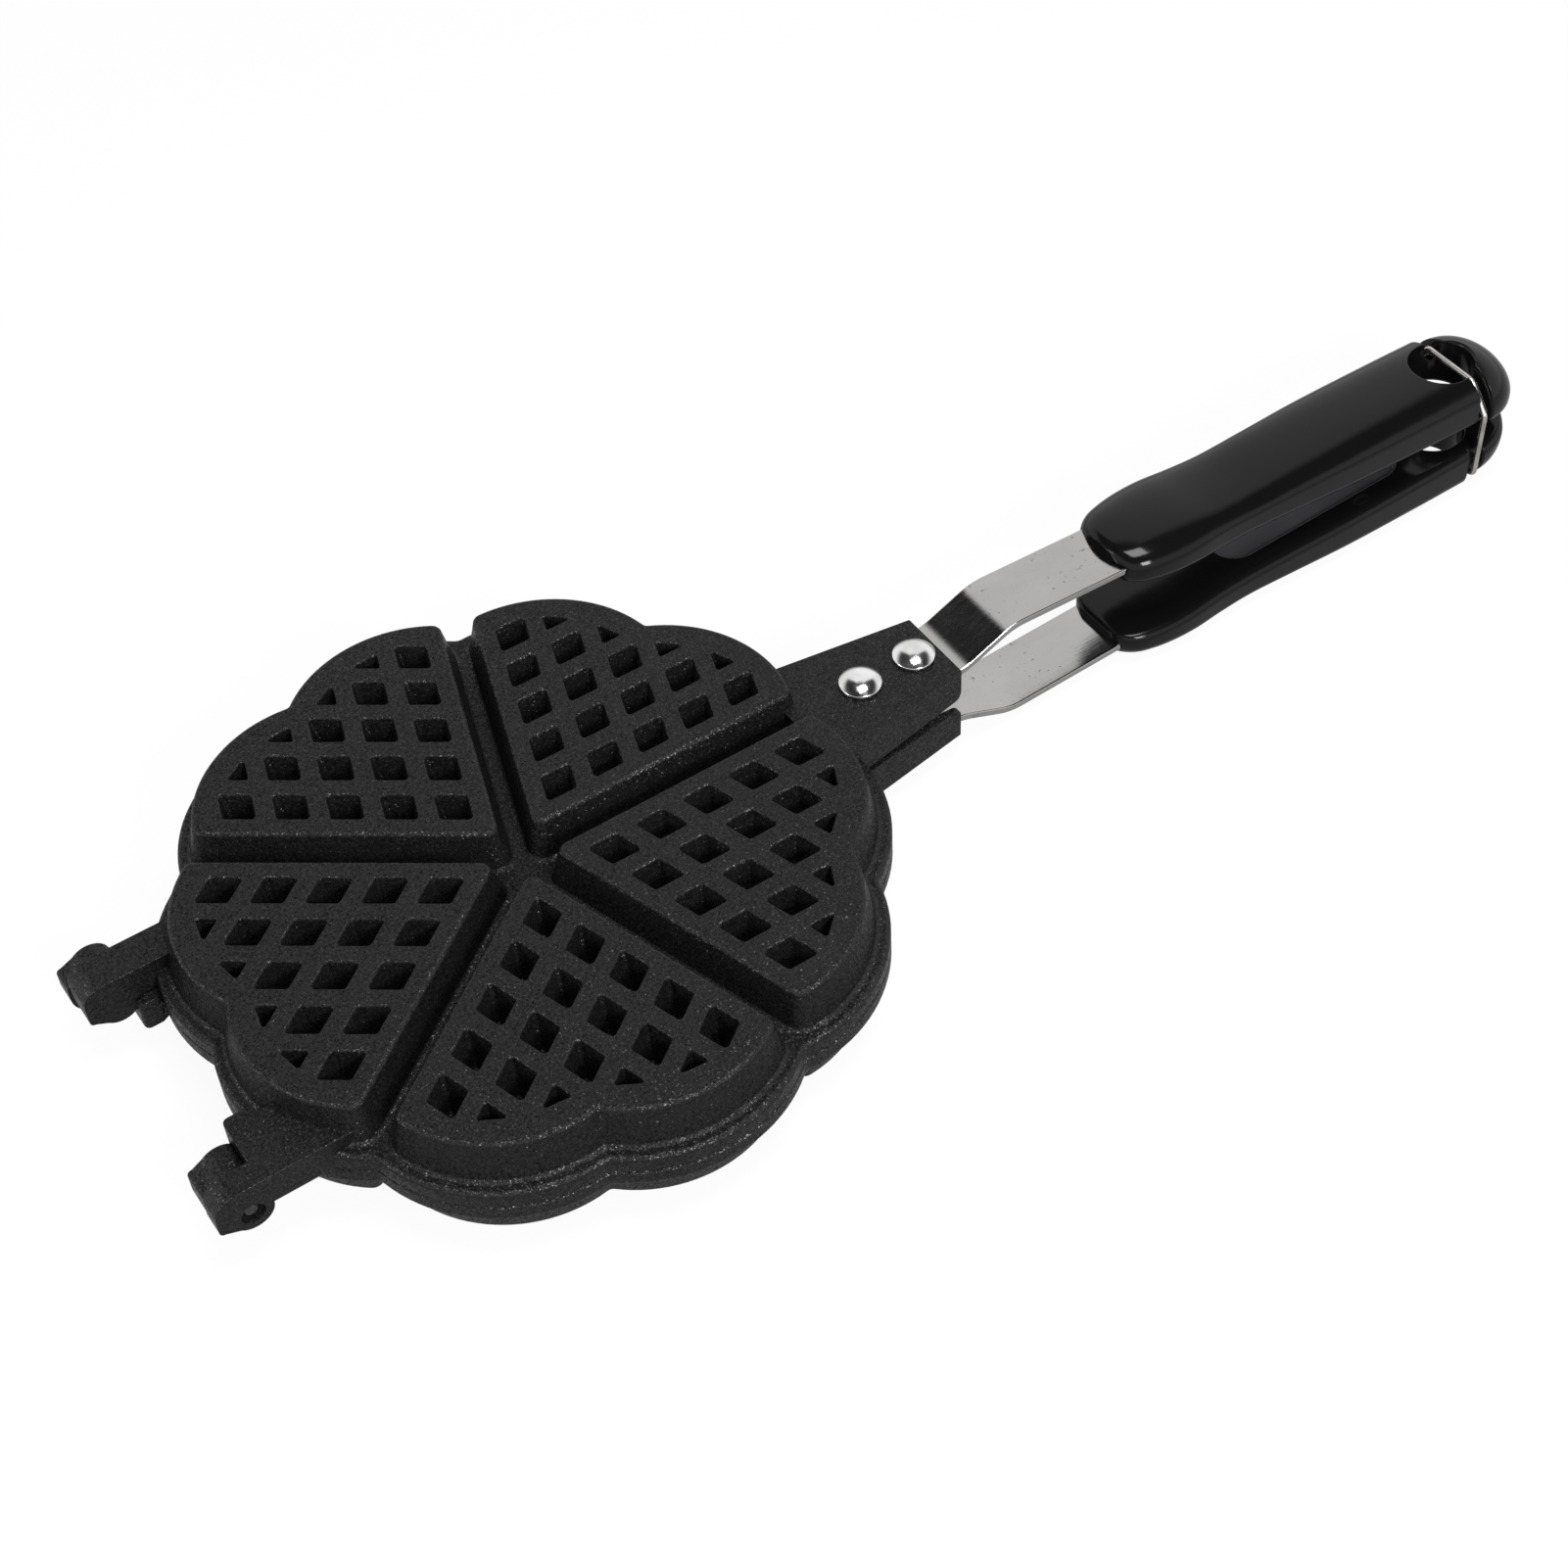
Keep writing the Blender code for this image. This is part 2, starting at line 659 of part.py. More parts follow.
def rivet():
    """Domed head, shank and formed tail, standing on the web's upper face."""
    sphere_r = (RIVET_HEAD_R ** 2 + RIVET_DOME ** 2) / (2 * RIVET_DOME)
    reach = math.asin(RIVET_HEAD_R / sphere_r)
    tail_top = -(TANG_WEB + SEAT_GAP + STRAP_T + SEAT_GAP + SEAT_GAP)
    profile = [(RIVET_TAIL_R * RIVET_TAIL_SHARE, tail_top - RIVET_TAIL)]
    profile += [(RIVET_TAIL_R, tail_top - RIVET_TAIL / 2)]
    profile += [(RIVET_TAIL_R, tail_top), (RIVET_SHANK_R, tail_top), (RIVET_SHANK_R, 0), (RIVET_HEAD_R, 0)]
    for share in RIVET_DOME_SHARES:
        angle = reach * share
        profile.append((sphere_r * math.sin(angle), RIVET_DOME - sphere_r * (1 - math.cos(angle))))
    return turned_body(profile, "rivet")


def pin():
    """Plain pin on the hinge axis, along Y."""
    inner = INNER_EAR_Y - INNER_EAR_T + PIN_BLIND + SEAT_GAP
    outer = OUTER_EAR_Y + OUTER_EAR_T - PIN_RECESS
    return cylinder_across(PIN_R, inner, outer)


def station(share):
    """The handle's other shares at a share of its length."""
    for before, after in zip(HANDLE_SHARES, HANDLE_SHARES[1:]):
        if before[0] <= share <= after[0]:
            blend = (share - before[0]) / (after[0] - before[0])
            return [low + (high - low) * blend for low, high in zip(before[1:], after[1:])]
    return list(HANDLE_SHARES[-1][1:])


def body_section(x):
    """The handle's section: flat inside face with soft edges, upright sides, rounded shoulders, crown."""
    width_share, height_share, lift_share, round_share = station((x - HANDLE_X) / HANDLE_LENGTH)
    full = HANDLE_CROWN_H - inner_height(x)
    low = inner_height(x) + full * lift_share
    top = inner_height(x) + full * height_share
    shoulder = (top - low) * (SHOULDER_SHARE + (ROUND_SHOULDER_SHARE - SHOULDER_SHARE) * round_share)
    power = SQUARE_SHARE + (1 - SQUARE_SHARE) * round_share
    return crowned_ring(x, HANDLE_HALF * width_share, low, top, shoulder, power)


def ball_section(share):
    """The round end's half-circle section, at a share of the ball's radius past its middle."""
    x = BALL_X + BALL_R * share
    radius = BALL_R * math.sqrt(1 - share ** 2)
    low = inner_height(x)
    return crowned_ring(x, radius, low, low + radius, radius * (1 - EDGE_SHARE), 1)


def crowned_ring(x, half, low, top, shoulder, power):
    """A section with a flat inner side, soft inner edges and shoulders that meet in a crown."""
    edge = min(HANDLE_INNER_EDGE, half / 2, (top - low) * EDGE_SHARE)
    side = arc((half - edge, low + edge), edge, -math.pi / 2, 0, 2)
    for step in range(CROWN_STEPS):
        angle = math.pi / 2 * step / CROWN_STEPS
        side.append((half * math.cos(angle) ** power, top - shoulder + shoulder * math.sin(angle) ** power))
    return ring_from_side(x, side, top)


def bail_line():
    """The bail seen along the handle, from the lower end of one leg to the middle of the crossbar."""
    corner_y = HANDLE_HALF - BAIL_CORNER_IN
    corner_h = BAIL_TOP_H - BAIL_CORNER_DROP
    return [(HANDLE_HALF, -BAIL_PIVOT_H), (HANDLE_HALF, corner_h), (corner_y, BAIL_TOP_H), (0, BAIL_TOP_H)]


def neck_section(x):
    """The groove in the handle that the bail lies in follows the bail's own bends."""
    line = offset_path(bail_line(), BAIL_R + SEAT_GAP)
    low = inner_height(x)
    top = line[-1][1]
    half, knee = line[1]
    corner_y = line[2][0]
    side = arc((half - HANDLE_INNER_EDGE, low + HANDLE_INNER_EDGE), HANDLE_INNER_EDGE, -math.pi / 2, 0, 2)
    slope_steps = CROWN_STEPS - 2
    for step in range(slope_steps + 1):
        share = step / slope_steps
        side.append((half + (corner_y - half) * share, knee + (top - knee) * share))
    side.append((corner_y / 2, top))
    return ring_from_side(x, side, top)


def ring_from_side(x, side, top):
    """A closed ring at x from the points of its +Y side."""
    right = [(x, y, z) for y, z in side]
    left = [(x, -y, z) for y, z in reversed(side)]
    return right + [(x, 0, top)] + left


def handle_body():
    """Lofted sections: the body, the groove of the neck and the ball end."""
    groove_front = BAIL_X - NECK_FRONT
    groove_rear = BAIL_X + NECK_REAR
    places = [HANDLE_X + HANDLE_LENGTH * shares[0] for shares in HANDLE_SHARES]
    rings = [body_section(x) for x in places if x < groove_front - SEAT_GAP]
    rings += [body_section(groove_front - SEAT_GAP), neck_section(groove_front), neck_section(groove_rear)]
    first = (groove_rear + SEAT_GAP - BALL_X) / BALL_R
    rings.append(ball_section(first))
    rings += [ball_section(share) for share in BALL_SHARES if share > first]
    return loft(rings, "handle")


def strap_slot():
    """The slot in the handle's front that the strap is pushed into."""
    first = HANDLE_X - OVERRUN
    last = STRAP_END_X + SEAT_GAP
    top = [(first, strap_height(first) + SEAT_GAP), (last, strap_height(last) + SEAT_GAP)]
    depth = STRAP_T + 2 * SEAT_GAP
    side = top + [(x, z - depth) for x, z in reversed(top)]
    half = STRAP_HALF + SEAT_GAP
    return side_prism(side, -half, half, "slot")


def inner_recess():
    """Long hollow in the inner face, with rounded ends and a floor parallel to the face."""
    first = HANDLE_X + RECESS_FRONT
    last = first + RECESS_LENGTH
    ends = arc((last - RECESS_HALF, 0), RECESS_HALF, -math.pi / 2, math.pi / 2, 8)
    ends += arc((first + RECESS_HALF, 0), RECESS_HALF, math.pi / 2, 3 * math.pi / 2, 8)
    floor = [(x, y, inner_height(x) + RECESS_DEPTH) for x, y in ends]
    mouth = [(x, y, inner_height(x) - OVERRUN) for x, y in ends]
    return loft([mouth, floor], "recess")


def upright_bar(x, radius, low, high, name):
    return prism(arc((x, 0), radius, 0, 2 * math.pi, ROUND_STEPS)[:-1], low, high, name)


def pivot_hole():
    """Cross hole for the turned-in ends of the bail."""
    radius = BAIL_R + SEAT_GAP
    outline = arc((BAIL_X, BAIL_PIVOT_H), radius, 0, 2 * math.pi, ROUND_STEPS // 2)[:-1]
    return side_prism(outline, -(HANDLE_HALF + OVERRUN), HANDLE_HALF + OVERRUN, "pivot_hole")


def handle():
    body = cut(handle_body(), inner_recess())
    body = cut(body, strap_slot())
    hang_x = HANDLE_TIP_X - HANG_HOLE_BACK
    body = cut(body, upright_bar(hang_x, HANG_HOLE_R, -OVERRUN, HANDLE_CROWN_H + OVERRUN, "hang_hole"))
    screw_low = inner_height(SCREW_X)
    screw_high = strap_height(SCREW_X)
    body = cut(body, upright_bar(SCREW_X, SCREW_R + SEAT_GAP, screw_low, screw_high, "screw_hole"))
    return cut(body, pivot_hole())


def screw():
    """Pan-headed screw from the recess through the handle's inner wall into the strap."""
    seat = inner_height(SCREW_X) + RECESS_DEPTH - SEAT_GAP
    end = strap_height(SCREW_X)
    profile = [(SCREW_HEAD_R * SCREW_EDGE_SHARE, seat - SCREW_HEAD), (SCREW_HEAD_R, seat - SCREW_HEAD / 2)]
    profile += [(SCREW_HEAD_R, seat), (SCREW_R, seat), (SCREW_R, end)]
    return moved(turned_body(profile, "screw"), Matrix.Translation((SCREW_X, 0, 0)))


def bail():
    """One bent wire: crossbar, two sloping corners, two legs, and ends turned in to the pivot."""
    half = [(HANDLE_HALF - BAIL_END_IN, -BAIL_PIVOT_H)] + bail_line()[:-1]
    whole = half + [(-y, z) for y, z in reversed(half)]
    path = rounded_path(whole, BAIL_BEND_R, 2)
    curve = bpy.data.curves.new("bail", "CURVE")
    curve.dimensions = "3D"
    curve.bevel_depth = BAIL_R
    curve.bevel_resolution = 2
    curve.use_fill_caps = True
    spline = curve.splines.new("POLY")
    spline.points.add(len(path) - 1)
    for point, (y, z) in zip(spline.points, path):
        point.co = (0, y, z + BAIL_PIVOT_H, 1)
    return curve


def finish(name, colour, roughness, metallic):
    material = bpy.data.materials.new(name)
    material.use_nodes = True
    shader = material.node_tree.nodes["Principled BSDF"]
    shader.inputs["Base Color"].default_value = (*colour, 1)
    shader.inputs["Roughness"].default_value = roughness
    shader.inputs["Metallic"].default_value = metallic
    return material


def pivot(name, place, parent=None):
    empty = bpy.data.objects.new(name, None)
    empty.location = place
    empty.parent = parent
    bpy.context.scene.collection.objects.link(empty)
    return empty


def add(name, data, parent, place, look):
    """One named piece on its pivot, with its own material."""
    item = bpy.data.objects.new(name, data)
    item.parent = parent
    item.location = place
    bpy.context.scene.collection.objects.link(item)
    if not data.materials:
        data.materials.append(None)
    item.material_slots[0].link = "OBJECT"
    item.material_slots[0].material = finish(name + "_finish", *look)
    return item


def smooth(mesh, degrees):
    mesh.shade_smooth()
    mesh.set_sharp_from_angle(angle=math.radians(degrees))


CAST = ((0.020, 0.020, 0.021), 0.55, 0.3)
STEEL = ((0.62, 0.61, 0.59), 0.28, 1.0)
BRIGHT = ((0.78, 0.78, 0.78), 0.12, 1.0)
MOULDED = ((0.010, 0.010, 0.010), 0.18, 0.0)
WIRE = ((0.52, 0.50, 0.46), 0.35, 1.0)


def build_half(side, parent, meshes):
    """The pieces of one half, all drawn with the plate's centre at the origin."""
    centre = (-HINGE_X, 0, 0)
    add(side + "_plate", meshes["casting"], parent, centre, CAST)
    add(side + "_strap", meshes["strap"], parent, centre, STEEL)
    add(side + "_handle", meshes["handle"], parent, centre, MOULDED)
    add(side + "_handle_screw", meshes["screw"], parent, centre, STEEL)
    for word, x in zip(("front", "rear"), rivet_places()):
        place = (x - HINGE_X, 0, TANG_TOP_H + SEAT_GAP)
        add(side + "_" + word + "_rivet", meshes["rivet"], parent, place, BRIGHT)


def stand_on_origin(roots, pieces):
    """Moves the pan so that its box stands centred on the origin."""
    bpy.context.view_layer.update()
    graph = bpy.context.evaluated_depsgraph_get()
    corners = []
    for piece in pieces:
        solid = piece.evaluated_get(graph)
        mesh = solid.to_mesh()
        corners += [piece.matrix_world @ vertex.co for vertex in mesh.vertices]
        solid.to_mesh_clear()
    low = Vector([min(corner[axis] for corner in corners) for axis in range(3)])
    high = Vector([max(corner[axis] for corner in corners) for axis in range(3)])
    shift = Vector((-(low.x + high.x) / 2, -(low.y + high.y) / 2, -low.z))
    for root in roots:
        root.location += shift
    bpy.context.view_layer.update()


clear_scene()
meshes = {"casting": casting(), "strap": strap(), "handle": handle(), "screw": screw()}
meshes.update({"rivet": rivet(), "pin": pin()})
for part_mesh in meshes.values():
    smooth(part_mesh, 30)
hinge_line = (HINGE_X, 0, 0)
lower_half = pivot("lower_half", hinge_line)
upper_half = pivot("upper_half", hinge_line)
lower_half.rotation_euler = (math.pi, 0, 0)
build_half("lower", lower_half, meshes)
build_half("upper", upper_half, meshes)
for side, turn in (("left", 0), ("right", math.pi)):
    hinge_pin = add("hinge_pin_" + side, meshes["pin"], lower_half, (-HINGE_X, 0, 0), STEEL)
    hinge_pin.rotation_euler = (turn, 0, 0)
bail_pivot = pivot("bail_pivot", (BAIL_X - HINGE_X, 0, BAIL_PIVOT_H), lower_half)
bail_pivot.rotation_euler = (math.pi, 0, 0)
add("latch_wire", bail(), bail_pivot, (0, 0, 0), WIRE)
stand_on_origin((lower_half, upper_half), [item for item in bpy.data.objects if item.type != "EMPTY"])
hinge_place = upper_half.matrix_world.translation
bail_place = bail_pivot.matrix_world.translation
print("hinge axis passes through", [round(value, 6) for value in hinge_place])
print("bail axis passes through", [round(value, 6) for value in bail_place])
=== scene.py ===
import math

import bmesh
import bpy
from mathutils import Matrix, Vector


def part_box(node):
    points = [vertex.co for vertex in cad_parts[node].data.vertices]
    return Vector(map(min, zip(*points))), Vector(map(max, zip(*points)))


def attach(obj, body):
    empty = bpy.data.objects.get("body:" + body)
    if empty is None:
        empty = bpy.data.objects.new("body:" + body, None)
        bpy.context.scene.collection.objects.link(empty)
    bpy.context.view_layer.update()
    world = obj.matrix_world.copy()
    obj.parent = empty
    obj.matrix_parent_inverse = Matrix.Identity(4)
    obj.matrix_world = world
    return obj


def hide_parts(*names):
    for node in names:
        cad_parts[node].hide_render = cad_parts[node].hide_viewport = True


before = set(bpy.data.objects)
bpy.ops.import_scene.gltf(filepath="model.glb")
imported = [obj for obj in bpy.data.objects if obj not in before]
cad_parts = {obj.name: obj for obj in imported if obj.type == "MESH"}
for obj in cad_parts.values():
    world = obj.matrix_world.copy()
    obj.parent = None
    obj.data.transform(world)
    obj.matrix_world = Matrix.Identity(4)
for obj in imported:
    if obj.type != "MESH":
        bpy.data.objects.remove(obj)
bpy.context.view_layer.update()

# Where the pan lies. Both halves are drawn once, with the plate's centre at the origin and the plane
# where the plates meet at height zero, and then set on the line of the hinge pins that the model gives.
pin_low, pin_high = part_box("hinge_pin_left")
HINGE_BACK = 0.09104
pan_centre = Vector(((pin_low.x + pin_high.x) / 2 + HINGE_BACK, 0, (pin_low.z + pin_high.z) / 2))
half_places = {
    "upper": Matrix.Translation(pan_centre),
    "lower": Matrix.Translation(pan_centre) @ Matrix.Rotation(math.pi, 4, "X"),
}


# The two plates: thick aluminium castings from one mould, one turned over on the other. Each has five
# hollow hearts with rounded edges and a lattice of square pits, whose undersides are the waffle pegs.
HEARTS = 5
HEART_TURN = 2 * math.pi / HEARTS
HALF_TURN = HEART_TURN / 2
LOBE_TURN = HEART_TURN / 4
LOBE_CENTRE = 0.04725
LOBE_X = LOBE_CENTRE * math.cos(LOBE_TURN)
LOBE_Y = LOBE_CENTRE * math.sin(LOBE_TURN)
LOBE_R = 0.0324
GROOVE_HALF = 0.0041
HEART_TOP = 0.0155
HEART_DRAFT = 0.00225
RIM_TOP = 0.0049
RIM_WIDTH = 0.00325
RIM_R = LOBE_R + HEART_DRAFT + RIM_WIDTH
RIM_HOLLOW_R = 0.0026
HEART_CORNER_R = 0.0024
HEART_TIP_R = 0.0024
HEART_CLEFT_R = 0.0018
LEAST_R = 0.0006
FACE = 0.00015


def arc(centre, radius, start, stop, steps):
    """Points on an arc, both ends included."""
    points = []
    for step in range(steps + 1):
        angle = start + (stop - start) * step / steps
        points.append((centre[0] + radius * math.cos(angle), centre[1] + radius * math.sin(angle)))
    return points


def turned(points, angle):
    """Points turned about the plate's centre."""
    cosine, sine = math.cos(angle), math.sin(angle)
    return [(x * cosine - y * sine, x * sine + y * cosine) for x, y in points]


def skinned(rings, name):
    """A closed skin through rings of points, with flat ends."""
    mesh = bpy.data.meshes.new(name)
    skin = bmesh.new()
    loops = [[skin.verts.new(point) for point in ring] for ring in rings]
    for one, other in zip(loops, loops[1:]):
        for index in range(len(one)):
            after = (index + 1) % len(one)
            skin.faces.new((one[index], one[after], other[after], other[index]))
    skin.faces.new(list(reversed(loops[0])))
    skin.faces.new(loops[-1])
    bmesh.ops.recalc_face_normals(skin, faces=skin.faces)
    skin.to_mesh(mesh)
    skin.free()
    return mesh


def at_height(points, z):
    return [(x, y, z) for x, y in points]


def together(meshes, name):
    """Several bodies in one mesh."""
    joined = bmesh.new()
    for mesh in meshes:
        joined.from_mesh(mesh)
    result = bpy.data.meshes.new(name)
    joined.to_mesh(result)
    joined.free()
    return result


def worked(base, tool, operation):
    """One casting step: the tool's body is added to the base or taken out of it, and the seam closed."""
    blank = bpy.data.objects.new("blank", base)
    other = bpy.data.objects.new("tool", tool)
    for item in (blank, other):
        bpy.context.scene.collection.objects.link(item)
    step = blank.modifiers.new("step", "BOOLEAN")
    step.operation = operation
    step.solver = "EXACT"
    step.object = other
    result = bpy.data.meshes.new_from_object(blank.evaluated_get(bpy.context.evaluated_depsgraph_get()))
    for item in (blank, other):
        bpy.data.objects.remove(item, do_unlink=True)
    seam = bmesh.new()
    seam.from_mesh(result)
    bmesh.ops.remove_doubles(seam, verts=list(seam.verts), dist=0.000001)
    bmesh.ops.dissolve_degenerate(seam, edges=list(seam.edges), dist=0.0000001)
    bmesh.ops.holes_fill(seam, edges=[edge for edge in seam.edges if edge.is_boundary], sides=8)
    seam.to_mesh(result)
    seam.free()
    return result


def heart_outline(grow):
    """One heart along +X, its corners and its tip rounded, grown or drawn in by one distance."""
    lobe_r = LOBE_R + grow
    groove = GROOVE_HALF - grow
    corner_r = max(HEART_CORNER_R + grow, LEAST_R)
    tip_r = max(HEART_TIP_R + grow * 0.5, LEAST_R)
    tip_x = (groove + tip_r) / math.sin(HALF_TURN)
    along = LOBE_X + math.sqrt((lobe_r - corner_r) ** 2 - (LOBE_Y - groove - corner_r) ** 2)
    off = groove + corner_r
    corner = (along * math.cos(HALF_TURN) + off * math.sin(HALF_TURN),
              along * math.sin(HALF_TURN) - off * math.cos(HALF_TURN))
    corner_turn = math.atan2(corner[1] - LOBE_Y, corner[0] - LOBE_X)
    meet = math.asin(LOBE_Y / (lobe_r + HEART_CLEFT_R))
    cleft_x = LOBE_X + math.sqrt((lobe_r + HEART_CLEFT_R) ** 2 - LOBE_Y ** 2)
    side = arc((tip_x, 0), tip_r, math.pi, math.pi / 2 + HALF_TURN, 4)
    side += arc(corner, corner_r, math.pi / 2 + HALF_TURN, corner_turn, 5)
    side += arc((LOBE_X, LOBE_Y), lobe_r, corner_turn, -meet, 22)[1:]
    side += arc((cleft_x, 0), HEART_CLEFT_R, math.pi - meet, math.pi, 3)[1:]
    return side + [(x, -y) for x, y in reversed(side[1:-1])]


def draft_at(z):
    """How far a heart's sloping side stands out at a height, against its top edge."""
    return HEART_DRAFT * (HEART_TOP - z) / (HEART_TOP - RIM_TOP)


def hearts(levels, name):
    """Five bodies with a heart's outline; each level is a height and how far the outline grows there."""
    bodies = []
    for index in range(HEARTS):
        turn = HALF_TURN + index * HEART_TURN
        rings = [at_height(turned(heart_outline(grow), turn), z) for z, grow in levels]
        bodies.append(skinned(rings, name))
    return together(bodies, name)


def rim_outline(radius, hollow_r):
    """The ten-lobed edge of the plate, with a small rounded hollow between each two lobes."""
    meet = math.asin(LOBE_Y / (radius + hollow_r))
    hollow_x = LOBE_X + math.sqrt((radius + hollow_r) ** 2 - LOBE_Y ** 2)
    reach = LOBE_TURN + meet
    wing = arc((LOBE_CENTRE, 0), radius, -reach, reach, 22)
    hollow = turned(arc((hollow_x, 0), hollow_r, math.pi + meet, math.pi - meet, 4)[1:-1], LOBE_TURN)
    points = []
    for index in range(2 * HEARTS):
        points += turned(wing + hollow, LOBE_TURN + index * HALF_TURN)
    return points


PIT_ROWS = 5
PIT_PITCH = 0.0125
PIT_HALF = 0.0039
PIT_TO_GROOVE = 0.01228
FIRST_PIT = PIT_TO_GROOVE / math.sin(HALF_TURN)
PIT_FLOOR = 0.0050
HALF_PIT_LEGS = (0.00686, 0.00507)
HALF_PIT_ROUNDING = 0.6
along_row = Vector((math.cos(HALF_TURN), -math.sin(HALF_TURN)))
across_row = Vector((math.cos(HALF_TURN), math.sin(HALF_TURN)))


def pit_mouths():
    """Corner points of one heart's pits: diamonds, and half pits where the lattice meets the lobes."""
    mouths = []
    for row in range(PIT_ROWS):
        for column in range(PIT_ROWS - row):
            middle = Vector((FIRST_PIT, 0)) + (along_row * row + across_row * column) * PIT_PITCH
            near = middle - (along_row + across_row) * PIT_HALF
            far = middle + (along_row + across_row) * PIT_HALF
            mouths.append([near, near + along_row * 2 * PIT_HALF, far, near + across_row * 2 * PIT_HALF])
    for row in range(1, PIT_ROWS):
        column = PIT_ROWS - row
        legs = HALF_PIT_LEGS if row % 2 else HALF_PIT_LEGS[::-1]
        middle = Vector((FIRST_PIT, 0)) + (along_row * row + across_row * column) * PIT_PITCH
        near = middle - (along_row + across_row) * PIT_HALF
        mouths.append([near, near + along_row * legs[0], near + across_row * legs[1]])
    return mouths


def softened(corners, grow, radius, steps=4):
    """A pit's outline moved out by a distance, with each corner rounded."""
    count = len(corners)
    points = []
    for index, corner in enumerate(corners):
        to_last = (corners[index - 1] - corner).normalized()
        to_next = (corners[(index + 1) % count] - corner).normalized()
        half = to_last.angle(to_next) / 2
        inward = (to_last + to_next).normalized()
        moved = corner - inward * grow / math.sin(half)
        centre = moved + inward * radius / math.sin(half)
        first = moved + to_last * radius / math.tan(half) - centre
        last = moved + to_next * radius / math.tan(half) - centre
        for step in range(steps + 1):
            points.append(centre + first.lerp(last, step / steps).normalized() * radius)
    return points


def tapered(levels, name):
    """Posts on every pit; each level is a height, a share of the mouth, a growth and a corner radius,
    which is smaller in the half pits."""
    posts = []
    for heart in range(HEARTS):
        turn = HALF_TURN + heart * HEART_TURN
        for corners in pit_mouths():
            middle = sum(corners, Vector((0, 0))) / len(corners)
            rings = []
            for z, share, grow, radius in levels:
                drawn = [middle.lerp(corner, share) for corner in corners]
                radius = radius if len(corners) == 4 else radius * HALF_PIT_ROUNDING
                outline = [tuple(point) for point in softened(drawn, grow, radius)]
                rings.append(at_height(turned(outline, turn), z))
            posts.append(skinned(rings, name))
    return together(posts, name)


def chamfered(outline, low, high, axis, edge, name):
    """An outline pulled along Y or Z with rounded long edges."""
    def ring(value):
        return [(a, value, b) if axis == "Y" else (a, b, value) for a, b in outline]
    block = bmesh.new()
    block.from_mesh(skinned([ring(low), ring(high)], name))
    bmesh.ops.bevel(block, geom=list(block.edges), offset=edge, segments=3, profile=0.5,
                    affect="EDGES", clamp_overlap=True)
    bmesh.ops.recalc_face_normals(block, faces=block.faces)
    result = bpy.data.meshes.new(name)
    block.to_mesh(result)
    block.free()
    return result


# The disc of the plate, rounded over at its outer edge and broken a little where the plates meet.
rim_edge = 0.0013
face_edge = 0.0004
rim_levels = [(FACE, face_edge), (FACE + face_edge, 0)]
for angle in (0, 0.4, 0.8, 1.2, math.pi / 2):
    rim_levels.append((RIM_TOP - rim_edge + rim_edge * math.sin(angle), rim_edge * (1 - math.cos(angle))))
rim_rings = [at_height(rim_outline(RIM_R - inset, RIM_HOLLOW_R + inset), z) for z, inset in rim_levels]
casting = skinned(rim_rings, "rim")

# The hearts, each with a small cove at its foot, which is sunk in the disc, and a rounded top edge.
root_cove = 0.0012
heart_edge = 0.0012
foot_depth = 0.0012
heart_levels = [(RIM_TOP - foot_depth, draft_at(RIM_TOP) + root_cove)]
for angle in (0, 0.45, 0.9, 1.3):
    z = RIM_TOP + root_cove * (1 - math.cos(angle))
    heart_levels.append((z, draft_at(z) + root_cove * (1 - math.sin(angle))))
for angle in (0, 0.4, 0.8, 1.2, math.pi / 2):
    z = HEART_TOP - heart_edge + heart_edge * math.sin(angle)
    heart_levels.append((z, draft_at(HEART_TOP - heart_edge) - heart_edge * (1 - math.cos(angle))))
casting = worked(casting, hearts(heart_levels, "hearts"), "UNION")

# The tang, a block that narrows towards the strap. Its outer face is flat and its free end rounded below.
TANG_X = 0.0730
TANG_END = 0.11464
TANG_TOP = 0.0111
TANG_ROOT_X = 0.0747
TANG_ROOT_HALF = 0.0168
TANG_END_HALF = 0.0107
nose_r = 0.0022
nose_x = TANG_END - nose_r
tang_side = [(TANG_X, 0.0005), (nose_x, 0.0019)]
tang_side += arc((nose_x, 0.0041), nose_r, -math.pi / 2, 0, 5)[1:]
tang_side += [(TANG_END, TANG_TOP), (TANG_X, TANG_TOP)]


def tang_ring(share):
    """The tang's side outline at one of its two flanks, which close in towards the strap."""
    ring = []
    for x, z in tang_side:
        narrowing = (TANG_END_HALF - TANG_ROOT_HALF) * (x - TANG_ROOT_X) / (TANG_END - TANG_ROOT_X)
        half = TANG_ROOT_HALF + narrowing
        ring.append((x, half * share, z))
    return ring


tang_block = bmesh.new()
tang_block.from_mesh(skinned([tang_ring(-1), tang_ring(1)], "tang"))
end_corners = []
for edge in tang_block.edges:
    one, other = edge.verts
    if min(one.co.x, other.co.x) > TANG_END - 0.0005 and abs(one.co.y - other.co.y) < 0.001:
        end_corners.append(edge)
bmesh.ops.bevel(tang_block, geom=end_corners, offset=0.0013, segments=5, profile=0.5,
                affect="EDGES", clamp_overlap=True)
sharp_edges = [edge for edge in tang_block.edges if edge.calc_face_angle(0) > 0.45]
bmesh.ops.bevel(tang_block, geom=sharp_edges, offset=0.0005, segments=3, profile=0.5,
                affect="EDGES", clamp_overlap=True)
tang_mesh = bpy.data.meshes.new("tang")
tang_block.to_mesh(tang_mesh)
tang_block.free()
casting = worked(casting, tang_mesh, "UNION")

# The hinge ears, a thin one on one side and a thick one on the other. When the plates are together, each
# thin ear lies outside the other half's thick ear.
HINGE_X = -HINGE_BACK
EAR_TOP = 0.0089
EAR_REACH = 0.0270
BOSS_R = 0.0050
DROOP_R = 0.0012
OUTER_EAR = (0.0350, 0.04125)
INNER_EAR = (0.0250, 0.0344)


